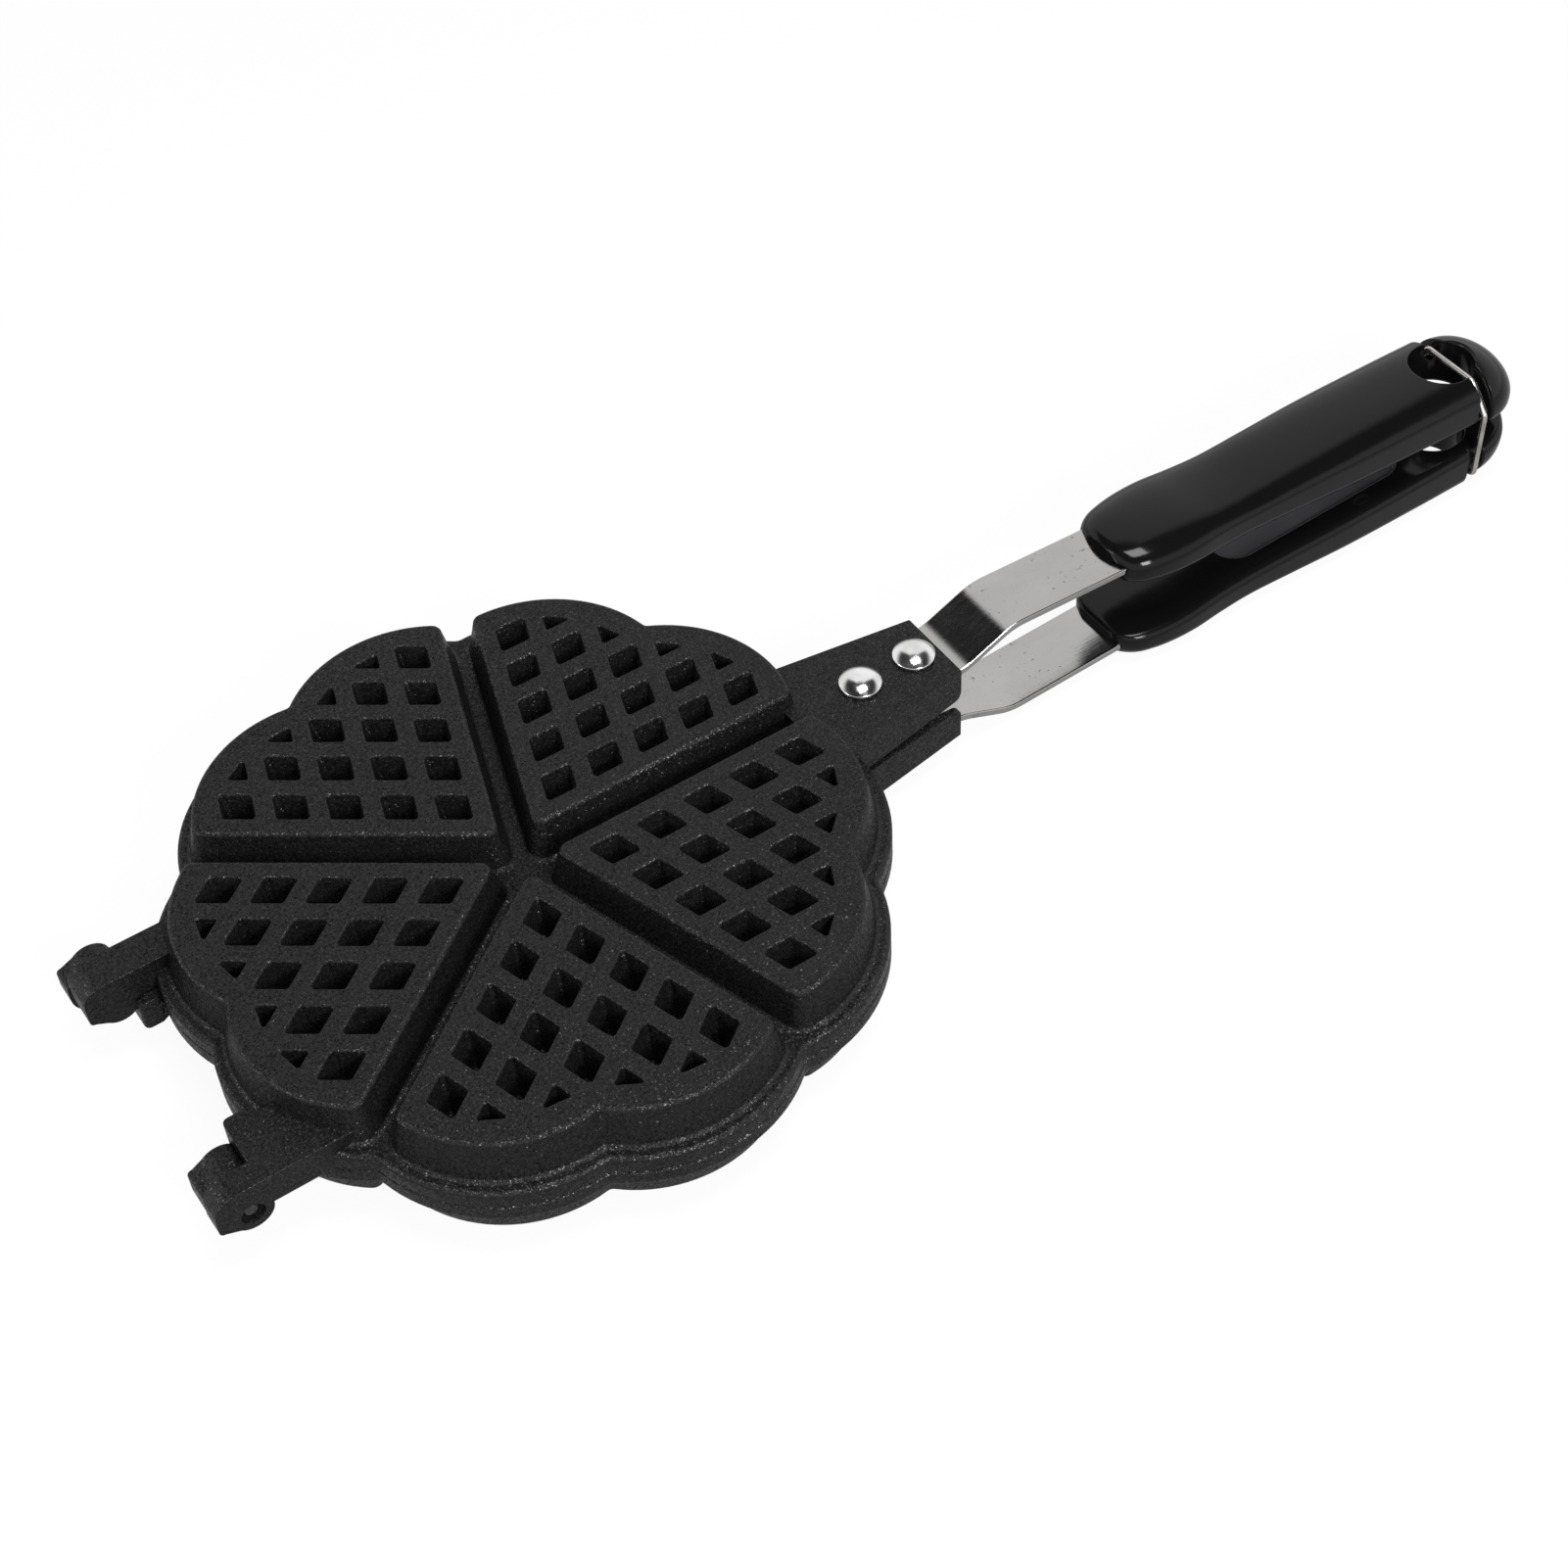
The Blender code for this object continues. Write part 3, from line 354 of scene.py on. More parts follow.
def ear_outline(nose, corner_r):
    """An ear from the side: arm, boss round the pin, drooping nose and rounded top corner."""
    boss = arc((HINGE_X, 0), BOSS_R, 0.03, -0.75 * math.pi, 14)
    front = HINGE_X - nose
    droop = arc((front + DROOP_R, -0.0008), DROOP_R, -math.pi / 2, -math.pi, 4)
    crown = arc((front + corner_r, EAR_TOP - corner_r), corner_r, math.pi, math.pi / 2, 7)
    return [(HINGE_X + EAR_REACH, FACE)] + boss + droop + crown + [(HINGE_X + EAR_REACH, EAR_TOP)]


# The web beside the thin ear, seen from above. A round cut in it leaves room for the boss of the other
# half's thick ear.
web_front = HINGE_X + 0.0034
web_side = -0.0381
stub_in = -0.0244
stub_r = 0.0014
web_outline = [(HINGE_X + EAR_REACH, web_side), (web_front, web_side)]
web_outline += arc((web_front + stub_r, stub_in + 0.0005), stub_r, math.pi, math.pi / 2, 5)
web_outline += [(web_front + 0.0042, stub_in + 0.0019), (HINGE_X + 0.0210, -0.0289)]


def bar_across(radius, low, high):
    """A round bar on the hinge line, from one distance off the pan's middle to another."""
    outline = [(HINGE_X + x, z) for x, z in arc((0, 0), radius, 0, 2 * math.pi, 24)[:-1]]
    return skinned([[(x, low, z) for x, z in outline], [(x, high, z) for x, z in outline]], "bar")


# A hair less keeps the web's faces out of the faces of the plate and the ears.
hair = 0.00002
boss_room_r = 0.0056
web = chamfered(web_outline, FACE + hair, EAR_TOP - hair, "Z", 0.0004, "web")
web = worked(web, bar_across(boss_room_r, -0.0356, stub_in), "DIFFERENCE")
casting = worked(casting, web, "UNION")
thin_ear = chamfered(ear_outline(0.0080, 0.0060), -OUTER_EAR[1], -OUTER_EAR[0], "Y", 0.0005, "thin_ear")
thick_ear = chamfered(ear_outline(0.0074, 0.0048), INNER_EAR[0], INNER_EAR[1], "Y", 0.0005, "thick_ear")
casting = worked(casting, together([thin_ear, thick_ear], "ears"), "UNION")
pin_hole_r = 0.00195
pin_mouth_r = 0.00285
pin_holes = [bar_across(pin_hole_r, -0.046, -0.0347), bar_across(pin_hole_r, 0.0264, 0.0347)]
casting = worked(casting, together(pin_holes, "pin_holes"), "DIFFERENCE")
casting = worked(casting, bar_across(pin_mouth_r, -0.046, -0.04025), "DIFFERENCE")

# The bed in the tang's inner side, in which the strap lies.
below = -0.004
bed_half = 0.0092
strap_bed = [(0.0859, below), (0.0859, 0.0091), (0.1149, 0.0091), (0.1349, 0.0179), (0.1349, below)]
bed_tool = skinned([[(x, y, z) for x, z in strap_bed] for y in (-bed_half, bed_half)], "bed")
casting = worked(casting, bed_tool, "DIFFERENCE")

# The hollows behind the hearts. Each level gives its height and the wall that is left there. The pegs
# are what stays standing in them, round the pits.
hollow_walls = ((below, 0.0026), (0.0117, 0.0026), (0.0122, 0.0028), (0.0125, 0.0033))
hollow_levels = [(z, draft_at(z) - wall) for z, wall in hollow_walls]
peg_levels = ((0.0030, 0.72, 0.0003, 0.0008), (0.0033, 0.72, 0.0006, 0.0011),
              (0.0120, 0.985, 0.0007, 0.0013), (0.0165, 1.12, 0.0007, 0.0013))
hollows = worked(hearts(hollow_levels, "hollows"), tapered(peg_levels, "pegs"), "DIFFERENCE")
casting = worked(casting, hollows, "DIFFERENCE")

# Inside the rim the faces stand back a little, so that the plates meet on their rims alone.
relief_inset = 0.0034
relief_top = 0.00115
relief = rim_outline(LOBE_R + draft_at(0) - relief_inset, RIM_HOLLOW_R)
relief_tool = skinned([at_height(relief, below), at_height(relief, relief_top)], "relief")
casting = worked(casting, relief_tool, "DIFFERENCE")

# The pits, which narrow to half their width at the floor and have rounded mouths.
pit_levels = ((PIT_FLOOR, 0.5, -0.0002, 0.0005), (PIT_FLOOR + 0.0003, 0.52, 0, 0.0006),
              (HEART_TOP - 0.0007, 0.967, 0, 0.0008), (HEART_TOP - 0.00035, 0.983, 0.00005, 0.0009),
              (HEART_TOP - 0.0001, 0.995, 0.0002, 0.0010), (HEART_TOP, 1.0, 0.0004, 0.0012),
              (HEART_TOP + 0.003, 1.0, 0.0004, 0.0012))
casting = worked(casting, tapered(pit_levels, "pits"), "DIFFERENCE")

# The rivets' holes.
rivet_x = (0.10824, 0.09264)
rivet_hole_r = 0.0025
holes = []
for x in rivet_x:
    circle = arc((x, 0), rivet_hole_r, 0, 2 * math.pi, 24)[:-1]
    holes.append(skinned([at_height(circle, below), at_height(circle, 0.015)], "hole"))
casting = worked(casting, together(holes, "holes"), "DIFFERENCE")


class Finish:
    """A Principled material with short ways to add and join its nodes."""

    def __init__(self, name, colour, roughness, metallic):
        self.material = bpy.data.materials.new(name)
        self.material.use_nodes = True
        self.tree = self.material.node_tree
        self.shader = self.tree.nodes["Principled BSDF"]
        self.shader.inputs["Base Color"].default_value = (*colour, 1)
        self.shader.inputs["Roughness"].default_value = roughness
        self.shader.inputs["Metallic"].default_value = metallic
        self.coordinates = self.node("ShaderNodeTexCoord")
        self.place = self.coordinates.outputs["Object"]

    def give(self, socket, value):
        """Links a socket to another node's output, or sets it to a plain value."""
        if isinstance(value, bpy.types.NodeSocket):
            self.tree.links.new(value, socket)
        else:
            socket.default_value = value

    def node(self, kind, **sockets):
        made = self.tree.nodes.new(kind)
        for name, value in sockets.items():
            self.give(made.inputs[name.replace("_", " ")], value)
        return made

    def noise(self, scale, detail=3.0, stretch=None, rough=0.5):
        """Fine noise; stretch gives other scales along X, Y and Z."""
        place = self.place
        if stretch:
            place = self.node("ShaderNodeMapping", Vector=place, Scale=stretch).outputs["Vector"]
        made = self.node("ShaderNodeTexNoise", Vector=place, Scale=scale, Detail=detail, Roughness=rough)
        return made.outputs["Fac"]

    def cells(self, scale):
        """One random colour to each of many small cells."""
        return self.node("ShaderNodeTexVoronoi", Vector=self.place, Scale=scale).outputs["Color"]

    def ramp(self, value, low, high, to_low=0.0, to_high=1.0):
        """Takes a value from one range to another, and holds it within that range."""
        made = self.node("ShaderNodeMapRange", Value=value, From_Min=low, From_Max=high,
                         To_Min=to_low, To_Max=to_high)
        return made.outputs["Result"]

    def math(self, how, one, other):
        made = self.tree.nodes.new("ShaderNodeMath")
        made.operation = how
        self.give(made.inputs[0], one)
        self.give(made.inputs[1], other)
        return made.outputs["Value"]

    def vector(self, how, one, other=None):
        made = self.tree.nodes.new("ShaderNodeVectorMath")
        made.operation = how
        self.give(made.inputs[0], one)
        if other is not None:
            self.give(made.inputs[1], other)
        return made.outputs["Vector"]

    def mix(self, share, one, other):
        """A colour between two others, each a plain colour or another node's output."""
        made = self.tree.nodes.new("ShaderNodeMix")
        made.data_type = "RGBA"
        for index, value in ((0, share), (6, one), (7, other)):
            self.give(made.inputs[index], (*value, 1) if isinstance(value, tuple) else value)
        return made.outputs[2]

    def rounded_edges(self, radius):
        """A normal that turns over each edge as if the edge were rounded."""
        made = self.node("ShaderNodeBevel", Radius=radius)
        made.samples = 6
        return made.outputs["Normal"]

    def bump(self, height, strength, distance, normal=None):
        made = self.node("ShaderNodeBump", Height=height, Strength=strength, Distance=distance)
        if normal is not None:
            self.give(made.inputs["Normal"], normal)
        self.feed("Normal", made.outputs["Normal"])

    def feed(self, name, value):
        """Lets a node's output drive one of the shader's own sockets."""
        self.give(self.shader.inputs[name], value)


coating = Finish("nonstick_coating", (0.008, 0.008, 0.008), 0.42, 0.0)
grain = coating.noise(1500.0, 2.0, rough=0.6)
swell = coating.noise(420.0, 3.0, rough=0.55)
cloudy = coating.noise(70.0, 2.0)
crystal = coating.cells(3000.0)
luck = coating.node("ShaderNodeSeparateColor", Color=crystal).outputs["Blue"]

# Faces that lean between level and upright are the rounded edges and coves, where more crystals show.
# There the colour is also painted lighter: a painted highlight along the edges and coves.
facing = coating.node("ShaderNodeSeparateXYZ", Vector=coating.coordinates.outputs["Normal"]).outputs["Z"]
level = coating.math("ABSOLUTE", facing, 0.0)
on_edge = coating.math("MULTIPLY", coating.ramp(level, 0.30, 0.50), coating.ramp(level, 0.985, 0.93))
luck_there = coating.math("ADD", luck, coating.math("MULTIPLY", on_edge, 0.05))
is_crystal = coating.ramp(luck_there, 0.58, 0.64)
clouds = coating.ramp(cloudy, 0.35, 0.65)
dark_tone = coating.mix(clouds, (0.0050, 0.0050, 0.0051), (0.0080, 0.0080, 0.0081))
grained = coating.mix(coating.ramp(grain, 0.45, 0.65), dark_tone, (0.0175, 0.0175, 0.0175))
# Painted highlight: the coating's colour is lighter on the rounded edges and coves.
grain_with_edge_highlight = coating.mix(coating.math("MULTIPLY", on_edge, 0.30), grained, (0.030, 0.030, 0.030))
# The crystals' colour, also painted lighter on the edges and coves as a highlight.
crystal_tone_with_edge_highlight = coating.mix(on_edge, (0.021, 0.021, 0.021), (0.030, 0.030, 0.030))
coating.feed("Base Color", coating.mix(is_crystal, grain_with_edge_highlight, crystal_tone_with_edge_highlight))
coating.shader.inputs["Specular IOR Level"].default_value = 0.10
coating.feed("Metallic", coating.math("MULTIPLY", is_crystal, 0.75))
coating.feed("Roughness", coating.math("SUBTRACT", coating.ramp(swell, 0.3, 0.7, 0.28, 0.40),
                                       coating.math("MULTIPLY", is_crystal, 0.1)))
waved = coating.node("ShaderNodeBump", Height=swell, Strength=0.35, Distance=0.0004)
bumped = coating.node("ShaderNodeBump", Height=grain, Strength=0.5, Distance=0.00022,
                      Normal=waved.outputs["Normal"])
lean = coating.vector("SUBTRACT", crystal, (0.5, 0.5, 0.5))
lean = coating.vector("MULTIPLY", lean, (0.7, 0.7, 0.7))
tilted = coating.vector("ADD", bumped.outputs["Normal"], lean)
coating.feed("Normal", coating.vector("NORMALIZE", tilted))


def shown(mesh, name, side, finish, body=None, sharp=35):
    """Sets a piece in its half, gives it its finish, and lets it ride on that half."""
    if side is not None:
        mesh = mesh.copy()
        mesh.transform(half_places[side])
    mesh.shade_smooth()
    mesh.set_sharp_from_angle(angle=math.radians(sharp))
    mesh.materials.clear()
    mesh.materials.append(finish.material)
    piece = bpy.data.objects.new(name, mesh)
    bpy.context.scene.collection.objects.link(piece)
    even = piece.modifiers.new("even_shading", "WEIGHTED_NORMAL")
    even.keep_sharp = True
    even.weight = 80
    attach(piece, body or side + "_half")
    return piece


for side in ("lower", "upper"):
    plate = shown(casting, side + "_cast_plate", side, coating)
    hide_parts(side + "_plate")


# The straps: strips of stainless steel 18 mm wide, cranked twice so that the grips stand clear, riveted
# into the tangs' beds and running deep into the grips. Rolled faces, rounded edges, rubbed and stained.
STRAP_HALF = 0.0089
STRAP_T = 0.0019
STRAP_TOP = 0.0088
STRAP_START = 0.0863
STRAP_BEND_X = 0.11604
CRANK_RUN = 0.01525
CRANK_RISE = 0.0067
CREST = Vector((STRAP_BEND_X + CRANK_RUN, STRAP_TOP + CRANK_RISE))
STRAP_SLOPE = math.tan(math.radians(2.4))
STRAP_TAIL = 0.1290
STRAP_END = CREST.x + STRAP_TAIL


def strap_top(x):
    """Height of the strap's outer face past the crank's crest."""
    return CREST.y - (x - CREST.x) * STRAP_SLOPE


def rounded_line(points, radius, steps):
    """An open line whose corners are replaced by arcs."""
    line = [Vector(points[0])]
    for before, corner, after in zip(points, points[1:], points[2:]):
        corner = Vector(corner)
        back = (Vector(before) - corner).normalized()
        on = (Vector(after) - corner).normalized()
        half = back.angle(on) / 2
        centre = corner + (back + on).normalized() * radius / math.sin(half)
        first = corner + back * radius / math.tan(half) - centre
        last = corner + on * radius / math.tan(half) - centre
        for step in range(steps + 1):
            line.append(centre + first.lerp(last, step / steps).normalized() * radius)
    return line + [Vector(points[-1])]


bend_r = 0.0160
strap_bends = [(STRAP_START, STRAP_TOP), (STRAP_BEND_X, STRAP_TOP), tuple(CREST),
               (STRAP_END, strap_top(STRAP_END))]
strap_line = rounded_line(strap_bends, bend_r, 24)
strap_edge = 0.00045
edge_y = STRAP_HALF - strap_edge
edge_low = strap_edge - STRAP_T
strap_corners = [(edge_y, -strap_edge, 90, 0), (edge_y, edge_low, 0, -90),
                 (-edge_y, edge_low, 270, 180), (-edge_y, -strap_edge, 180, 90)]
strap_section = []
for y, depth, start, stop in strap_corners:
    strap_section += arc((y, depth), strap_edge, math.radians(start), math.radians(stop), 4)
strap_rings = []
for index, point in enumerate(strap_line):
    before = strap_line[max(index - 1, 0)]
    after = strap_line[min(index + 1, len(strap_line) - 1)]
    onward = (after - before).normalized()
    up = Vector((-onward.y, onward.x))
    strap_rings.append([(point.x + up.x * depth, y, point.y + up.y * depth) for y, depth in strap_section])
strap_mesh = skinned(strap_rings, "strap")

steel = Finish("rolled_steel", (0.55, 0.54, 0.53), 0.24, 1.0)
rolling = steel.noise(520.0, 4.0, stretch=(0.06, 1.6, 1.0), rough=0.65)
fine_lines = steel.noise(2600.0, 3.0, stretch=(0.03, 1.0, 1.0), rough=0.7)
stain = steel.noise(60.0, 5.0, stretch=(0.8, 1.3, 1.0), rough=0.7)
specks = steel.ramp(steel.noise(700.0, 2.0, rough=0.7), 0.64, 0.70)
patches = steel.ramp(steel.noise(70.0, 3.0), 0.46, 0.62)
grime = steel.math("MULTIPLY", specks, patches)
toned = steel.mix(steel.ramp(stain, 0.3, 0.75), (0.39, 0.386, 0.38), (0.45, 0.445, 0.44))
steel.feed("Base Color", steel.mix(steel.math("MULTIPLY", grime, 0.7), toned, (0.10, 0.09, 0.08)))
steel.feed("Roughness", steel.math("ADD", steel.ramp(rolling, 0.3, 0.7, 0.09, 0.15),
                                   steel.ramp(stain, 0.45, 0.8, 0.0, 0.07)))
steel.bump(steel.math("ADD", fine_lines, steel.math("MULTIPLY", rolling, 1.4)), 0.16, 0.00008)
for side in ("lower", "upper"):
    strap = shown(strap_mesh, side + "_steel_strap", side, steel)
    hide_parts(side + "_strap")


# The rivets: two of bright metal to each tang. They pass through tang and strap, with polished domed
# heads on the tang's outer face and flattened tails on the strap's inner face.
RIVET_SEAT = 0.0114
HEAD_R = 0.0051
HEAD_SKIRT = 0.0008
DOME_RISE = 0.0019
DOME_STEPS = 14
rivet_profile = [(0.0030, -0.0056), (0.0038, -0.0051), (0.0038, -0.0045), (0.0022, -0.0045), (0.0022, 0.0),
                 (HEAD_R, 0.0), (0.00525, 0.00010), (0.00525, 0.00055), (0.00519, 0.00072)]
dome_r = (HEAD_R ** 2 + DOME_RISE ** 2) / (2 * DOME_RISE)
dome_turn = math.asin(HEAD_R / dome_r)
for step in range(DOME_STEPS):
    angle = dome_turn * (1 - step / DOME_STEPS)
    height = HEAD_SKIRT + DOME_RISE - dome_r * (1 - math.cos(angle))
    rivet_profile.append((dome_r * math.sin(angle), height))


def lathed(profile, name, steps=40):
    """A body turned round +Z from a profile of radius and height."""
    rings = [at_height(arc((0, 0), radius, 0, 2 * math.pi, steps)[:-1], z) for radius, z in profile]
    return skinned(rings, name)


rivet_mesh = lathed(rivet_profile, "rivet")
bright = Finish("polished_rivet", (0.80, 0.80, 0.80), 0.08, 1.0)
polish = bright.noise(700.0, 3.0, stretch=(1.0, 0.25, 1.0), rough=0.6)
bright.feed("Roughness", bright.ramp(polish, 0.3, 0.7, 0.10, 0.20))
smudges = bright.noise(260.0, 4.0)
smudged = bright.mix(bright.ramp(smudges, 0.4, 0.7), (0.82, 0.82, 0.82), (0.66, 0.655, 0.65))
bright.feed("Base Color", smudged)
bright.bump(bright.noise(420.0, 2.0), 0.10, 0.00012)
for side in ("lower", "upper"):
    for word, x in zip(("front", "rear"), rivet_x):
        head = rivet_mesh.copy()
        head.transform(Matrix.Translation((x, 0, RIVET_SEAT)))
        rivet = shown(head, side + "_" + word + "_rivet_head", side, bright, sharp=40)
        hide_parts(side + "_" + word + "_rivet")


# The grips: glossy black heat-proof mouldings, each with a bulb towards the plates, a waist, a flat inner
# face with a long recess, a groove for the wire and a ball end. The strap is pushed in and screwed fast.
CREST_TO_GRIP = 0.0332
GRIP_X = CREST.x + CREST_TO_GRIP
GRIP_LENGTH = 0.1327
GRIP_HALF = 0.0144
GRIP_OVER_STRAP = 0.0049
GRIP_UNDER_STRAP = 0.0030
CROWN = CREST.y - CREST_TO_GRIP * STRAP_SLOPE + GRIP_OVER_STRAP
BALL_R = 0.0148
GRIP_TIP = GRIP_X + GRIP_LENGTH
BALL_X = GRIP_TIP - BALL_R
INNER_EDGE = 0.0024
CROWN_STEPS = 18

# Share of the length, and there: width, height, how far the flat face lifts, and roundness.
grip_stations = (
    (0.000, 0.42, 0.76, 0.10, 0.8), (0.009, 0.64, 0.85, 0.04, 0.7), (0.032, 0.82, 0.94, 0.01, 0.6),
    (0.061, 0.90, 0.99, 0.00, 0.5), (0.108, 0.96, 1.01, 0.00, 0.4), (0.165, 0.96, 0.98, 0.00, 0.2),
    (0.231, 0.91, 0.90, 0.00, 0.0), (0.306, 0.89, 0.87, 0.00, 0.0), (0.410, 0.91, 0.92, 0.00, 0.0),
    (0.552, 0.95, 0.97, 0.00, 0.0), (0.740, 0.96, 0.98, 0.00, 0.0), (0.850, 0.96, 0.97, 0.00, 0.0),
    (0.900, 0.96, 0.96, 0.00, 0.0))


def inner_face(x):
    """Height of the grip's flat side, which follows the strap."""
    return strap_top(x) - STRAP_T - GRIP_UNDER_STRAP


def grip_shape(share):
    """Width, height, lift and roundness at a share of the grip's length, flowing smoothly."""
    last = len(grip_stations) - 1
    for index in range(last):
        if share <= grip_stations[index + 1][0] or index == last - 1:
            break
    p0, p1 = grip_stations[max(index - 1, 0)], grip_stations[index]
    p2, p3 = grip_stations[index + 1], grip_stations[min(index + 2, last)]
    span = p2[0] - p1[0]
    t = (share - p1[0]) / span
    values = []
    for column in range(1, 5):
        slope_1 = (p2[column] - p0[column]) / max(p2[0] - p0[0], 1e-9) * span
        slope_2 = (p3[column] - p1[column]) / max(p3[0] - p1[0], 1e-9) * span
        values.append((2 * t ** 3 - 3 * t ** 2 + 1) * p1[column] + (t ** 3 - 2 * t ** 2 + t) * slope_1
                      + (3 * t ** 2 - 2 * t ** 3) * p2[column] + (t ** 3 - t ** 2) * slope_2)
    return values


def mirrored_ring(x, side):
    """A whole ring across the grip from the points of one side."""
    other_side = [(-y, z) for y, z in reversed(side) if y > 1e-6]
    return [(x, y, z) for y, z in side + other_side]


def inner_side(half, edge, low):
    """One side of the flat inner face, and its soft edge."""
    side = [(half / 3, low), (half - edge - 0.0002, low)]
    return side + arc((half - edge, low + edge), edge, -math.pi / 2, 0, 7)[1:]


def crowned(half, low, top, shoulder, power):
    """One side of a section with a flat inner face and a shoulder that rises to the crown."""
    side = inner_side(half, min(INNER_EDGE, half / 2, (top - low) * 0.25), low)
    for step in range(CROWN_STEPS):
        angle = math.pi / 2 * step / CROWN_STEPS
        side.append((half * math.cos(angle) ** power, top - shoulder + shoulder * math.sin(angle) ** power))
    return side + [(0, top)]


def grip_section(x):
    width, height, lift, round_share = grip_shape((x - GRIP_X) / GRIP_LENGTH)
    full = CROWN - inner_face(x)
    low = inner_face(x) + full * lift
    top = inner_face(x) + full * height
    shoulder = (top - low) * (0.42 + 0.33 * round_share)
    return crowned(GRIP_HALF * width, low, top, shoulder, 0.88 + 0.12 * round_share)


def ball_section(share):
    low = inner_face(BALL_X + BALL_R * share)
    radius = BALL_R * math.sqrt(1 - share ** 2)
    return crowned(radius, low, low + radius, radius * 0.75, 1)


WIRE_R = 0.00075
WIRE_PLAY = 0.0003
WIRE_X = GRIP_TIP - 0.0173
WIRE_TOP = CROWN - 0.0035
WIRE_PIVOT = WIRE_TOP - 0.0031
WIRE_KNEE_DROP = 0.00775
WIRE_KNEE_IN = 0.0064


def neck_section(x):
    """The groove's floor, which follows the bends of the wire, in as many points as a crowned section."""
    inset = WIRE_R + WIRE_PLAY
    low = inner_face(x)
    half = GRIP_HALF - inset
    knee = (half, WIRE_TOP - WIRE_KNEE_DROP - inset * 0.35)
    crown = (GRIP_HALF - WIRE_KNEE_IN - inset * 0.55, WIRE_TOP - inset)
    edge = INNER_EDGE
    side = inner_side(half, edge, low)
    for step in range(CROWN_STEPS):
        share = step / (CROWN_STEPS - 1)
        if share < 0.25:
            side.append((half, low + edge + (knee[1] - low - edge) * (share + 0.02) / 0.25))
        elif share < 0.75:
            t = (share - 0.25) / 0.5
            side.append((knee[0] + (crown[0] - knee[0]) * t, knee[1] + (crown[1] - knee[1]) * t))
        else:
            side.append((crown[0] * (1 - (share - 0.75) / 0.27), crown[1]))
    return side + [(0, crown[1])]


def between(one, other, share):
    """A section part of the way from one to the other."""
    return [(a + (c - a) * share, b + (d - b) * share) for (a, b), (c, d) in zip(one, other)]


# The grip is skinned from its bulb to the groove, down and up the groove's walls, and round the ball.
groove_front = WIRE_X - 0.0014
groove_rear = WIRE_X + 0.0022
grip_steps = 63
grip_rings = []
for step in range(grip_steps + 1):
    share = (step / grip_steps) ** 1.35
    x = GRIP_X + (groove_front - 0.0006 - GRIP_X) * share
    grip_rings.append(mirrored_ring(x, grip_section(x)))
for back, share in ((0.0004, 0.06), (0.0002, 0.2), (0.0, 0.5), (-0.0001, 1.0)):
    x = groove_front - back
    grip_rings.append(mirrored_ring(x, between(grip_section(x), neck_section(x), share)))
ball_front = (groove_rear + 0.0005 - BALL_X) / BALL_R
for on, share in ((-0.0001, 1.0), (0.0, 0.5), (0.0002, 0.2), (0.0004, 0.06)):
    x = groove_rear + on
    ball = ball_section((x - BALL_X) / BALL_R)
    grip_rings.append(mirrored_ring(x, between(ball, neck_section(x), share)))
ball_steps = 21
for step in range(ball_steps + 1):
    share = ball_front + (0.998 - ball_front) * math.sin(math.pi / 2 * step / ball_steps)
    grip_rings.append(mirrored_ring(BALL_X + BALL_R * share, ball_section(share)))
grip_mesh = skinned(grip_rings, "grip")

# The long recess in the inner face; each level is a depth and how far its outline draws in.
recess_start = GRIP_X + 0.0385
recess_end = GRIP_X + 0.0975
recess_half = 0.0062
recess_levels = ((-0.003, -0.0008), (-0.0001, -0.0008), (0.00005, -0.0003), (0.0004, 0.0),
                 (0.0008, 0.0), (0.0012, 0.0005))
recess_rings = []
for depth, inset in recess_levels:
    radius = recess_half - inset
    ends = arc((recess_end - recess_half, 0), radius, -math.pi / 2, math.pi / 2, 14)
    ends += arc((recess_start + recess_half, 0), radius, math.pi / 2, 3 * math.pi / 2, 14)
    recess_rings.append([(x, y, inner_face(x) + depth) for x, y in ends])
grip_mesh = worked(grip_mesh, skinned(recess_rings, "recess"), "DIFFERENCE")

# The slot that the strap is pushed into.
slot_start = GRIP_X - 0.004
slot_half = 0.0091
slot_play = 0.0002
slot_side = [(slot_start, strap_top(slot_start) + slot_play),
             (STRAP_END + 0.0003, strap_top(STRAP_END) + slot_play)]
slot_side += [(x, z - STRAP_T - 2 * slot_play) for x, z in reversed(slot_side)]
slot_tool = skinned([[(x, y, z) for x, z in slot_side] for y in (-slot_half, slot_half)], "slot")
grip_mesh = worked(grip_mesh, slot_tool, "DIFFERENCE")

# The hanging hole, which opens out softly towards the crown.
hole_x = GRIP_TIP - 0.0208
hole_low = inner_face(0.2765)
hole_profile = [(0.0094, -0.002), (0.0094, hole_low - 0.0004), (0.0087, hole_low + 0.0003),
                (0.00845, hole_low + 0.0010), (0.00845, CROWN - 0.0014), (0.00865, CROWN - 0.0009),
                (0.0092, CROWN - 0.0004), (0.0102, CROWN), (0.0125, CROWN + 0.001),
                (0.0125, CROWN + 0.004)]
hole_tool = lathed(hole_profile, "hanging_hole", 56)
hole_tool.transform(Matrix.Translation((hole_x, 0, 0)))
grip_mesh = worked(grip_mesh, hole_tool, "DIFFERENCE")

# The holes for the screw and for the ends of the wire.
screw_x = STRAP_END - 0.0075
screw_tool = lathed([(0.0019, 0), (0.0019, 0.0055)], "screw_hole", 24)
screw_tool.transform(Matrix.Translation((screw_x, 0, inner_face(screw_x))))
grip_mesh = worked(grip_mesh, screw_tool, "DIFFERENCE")
pivot_ring = arc((WIRE_X, WIRE_PIVOT), WIRE_R + WIRE_PLAY, 0, 2 * math.pi, 16)[:-1]
pivot_tool = skinned([[(x, y, z) for x, z in pivot_ring] for y in (-0.02, 0.02)], "pivot_hole")
grip_mesh = worked(grip_mesh, pivot_tool, "DIFFERENCE")

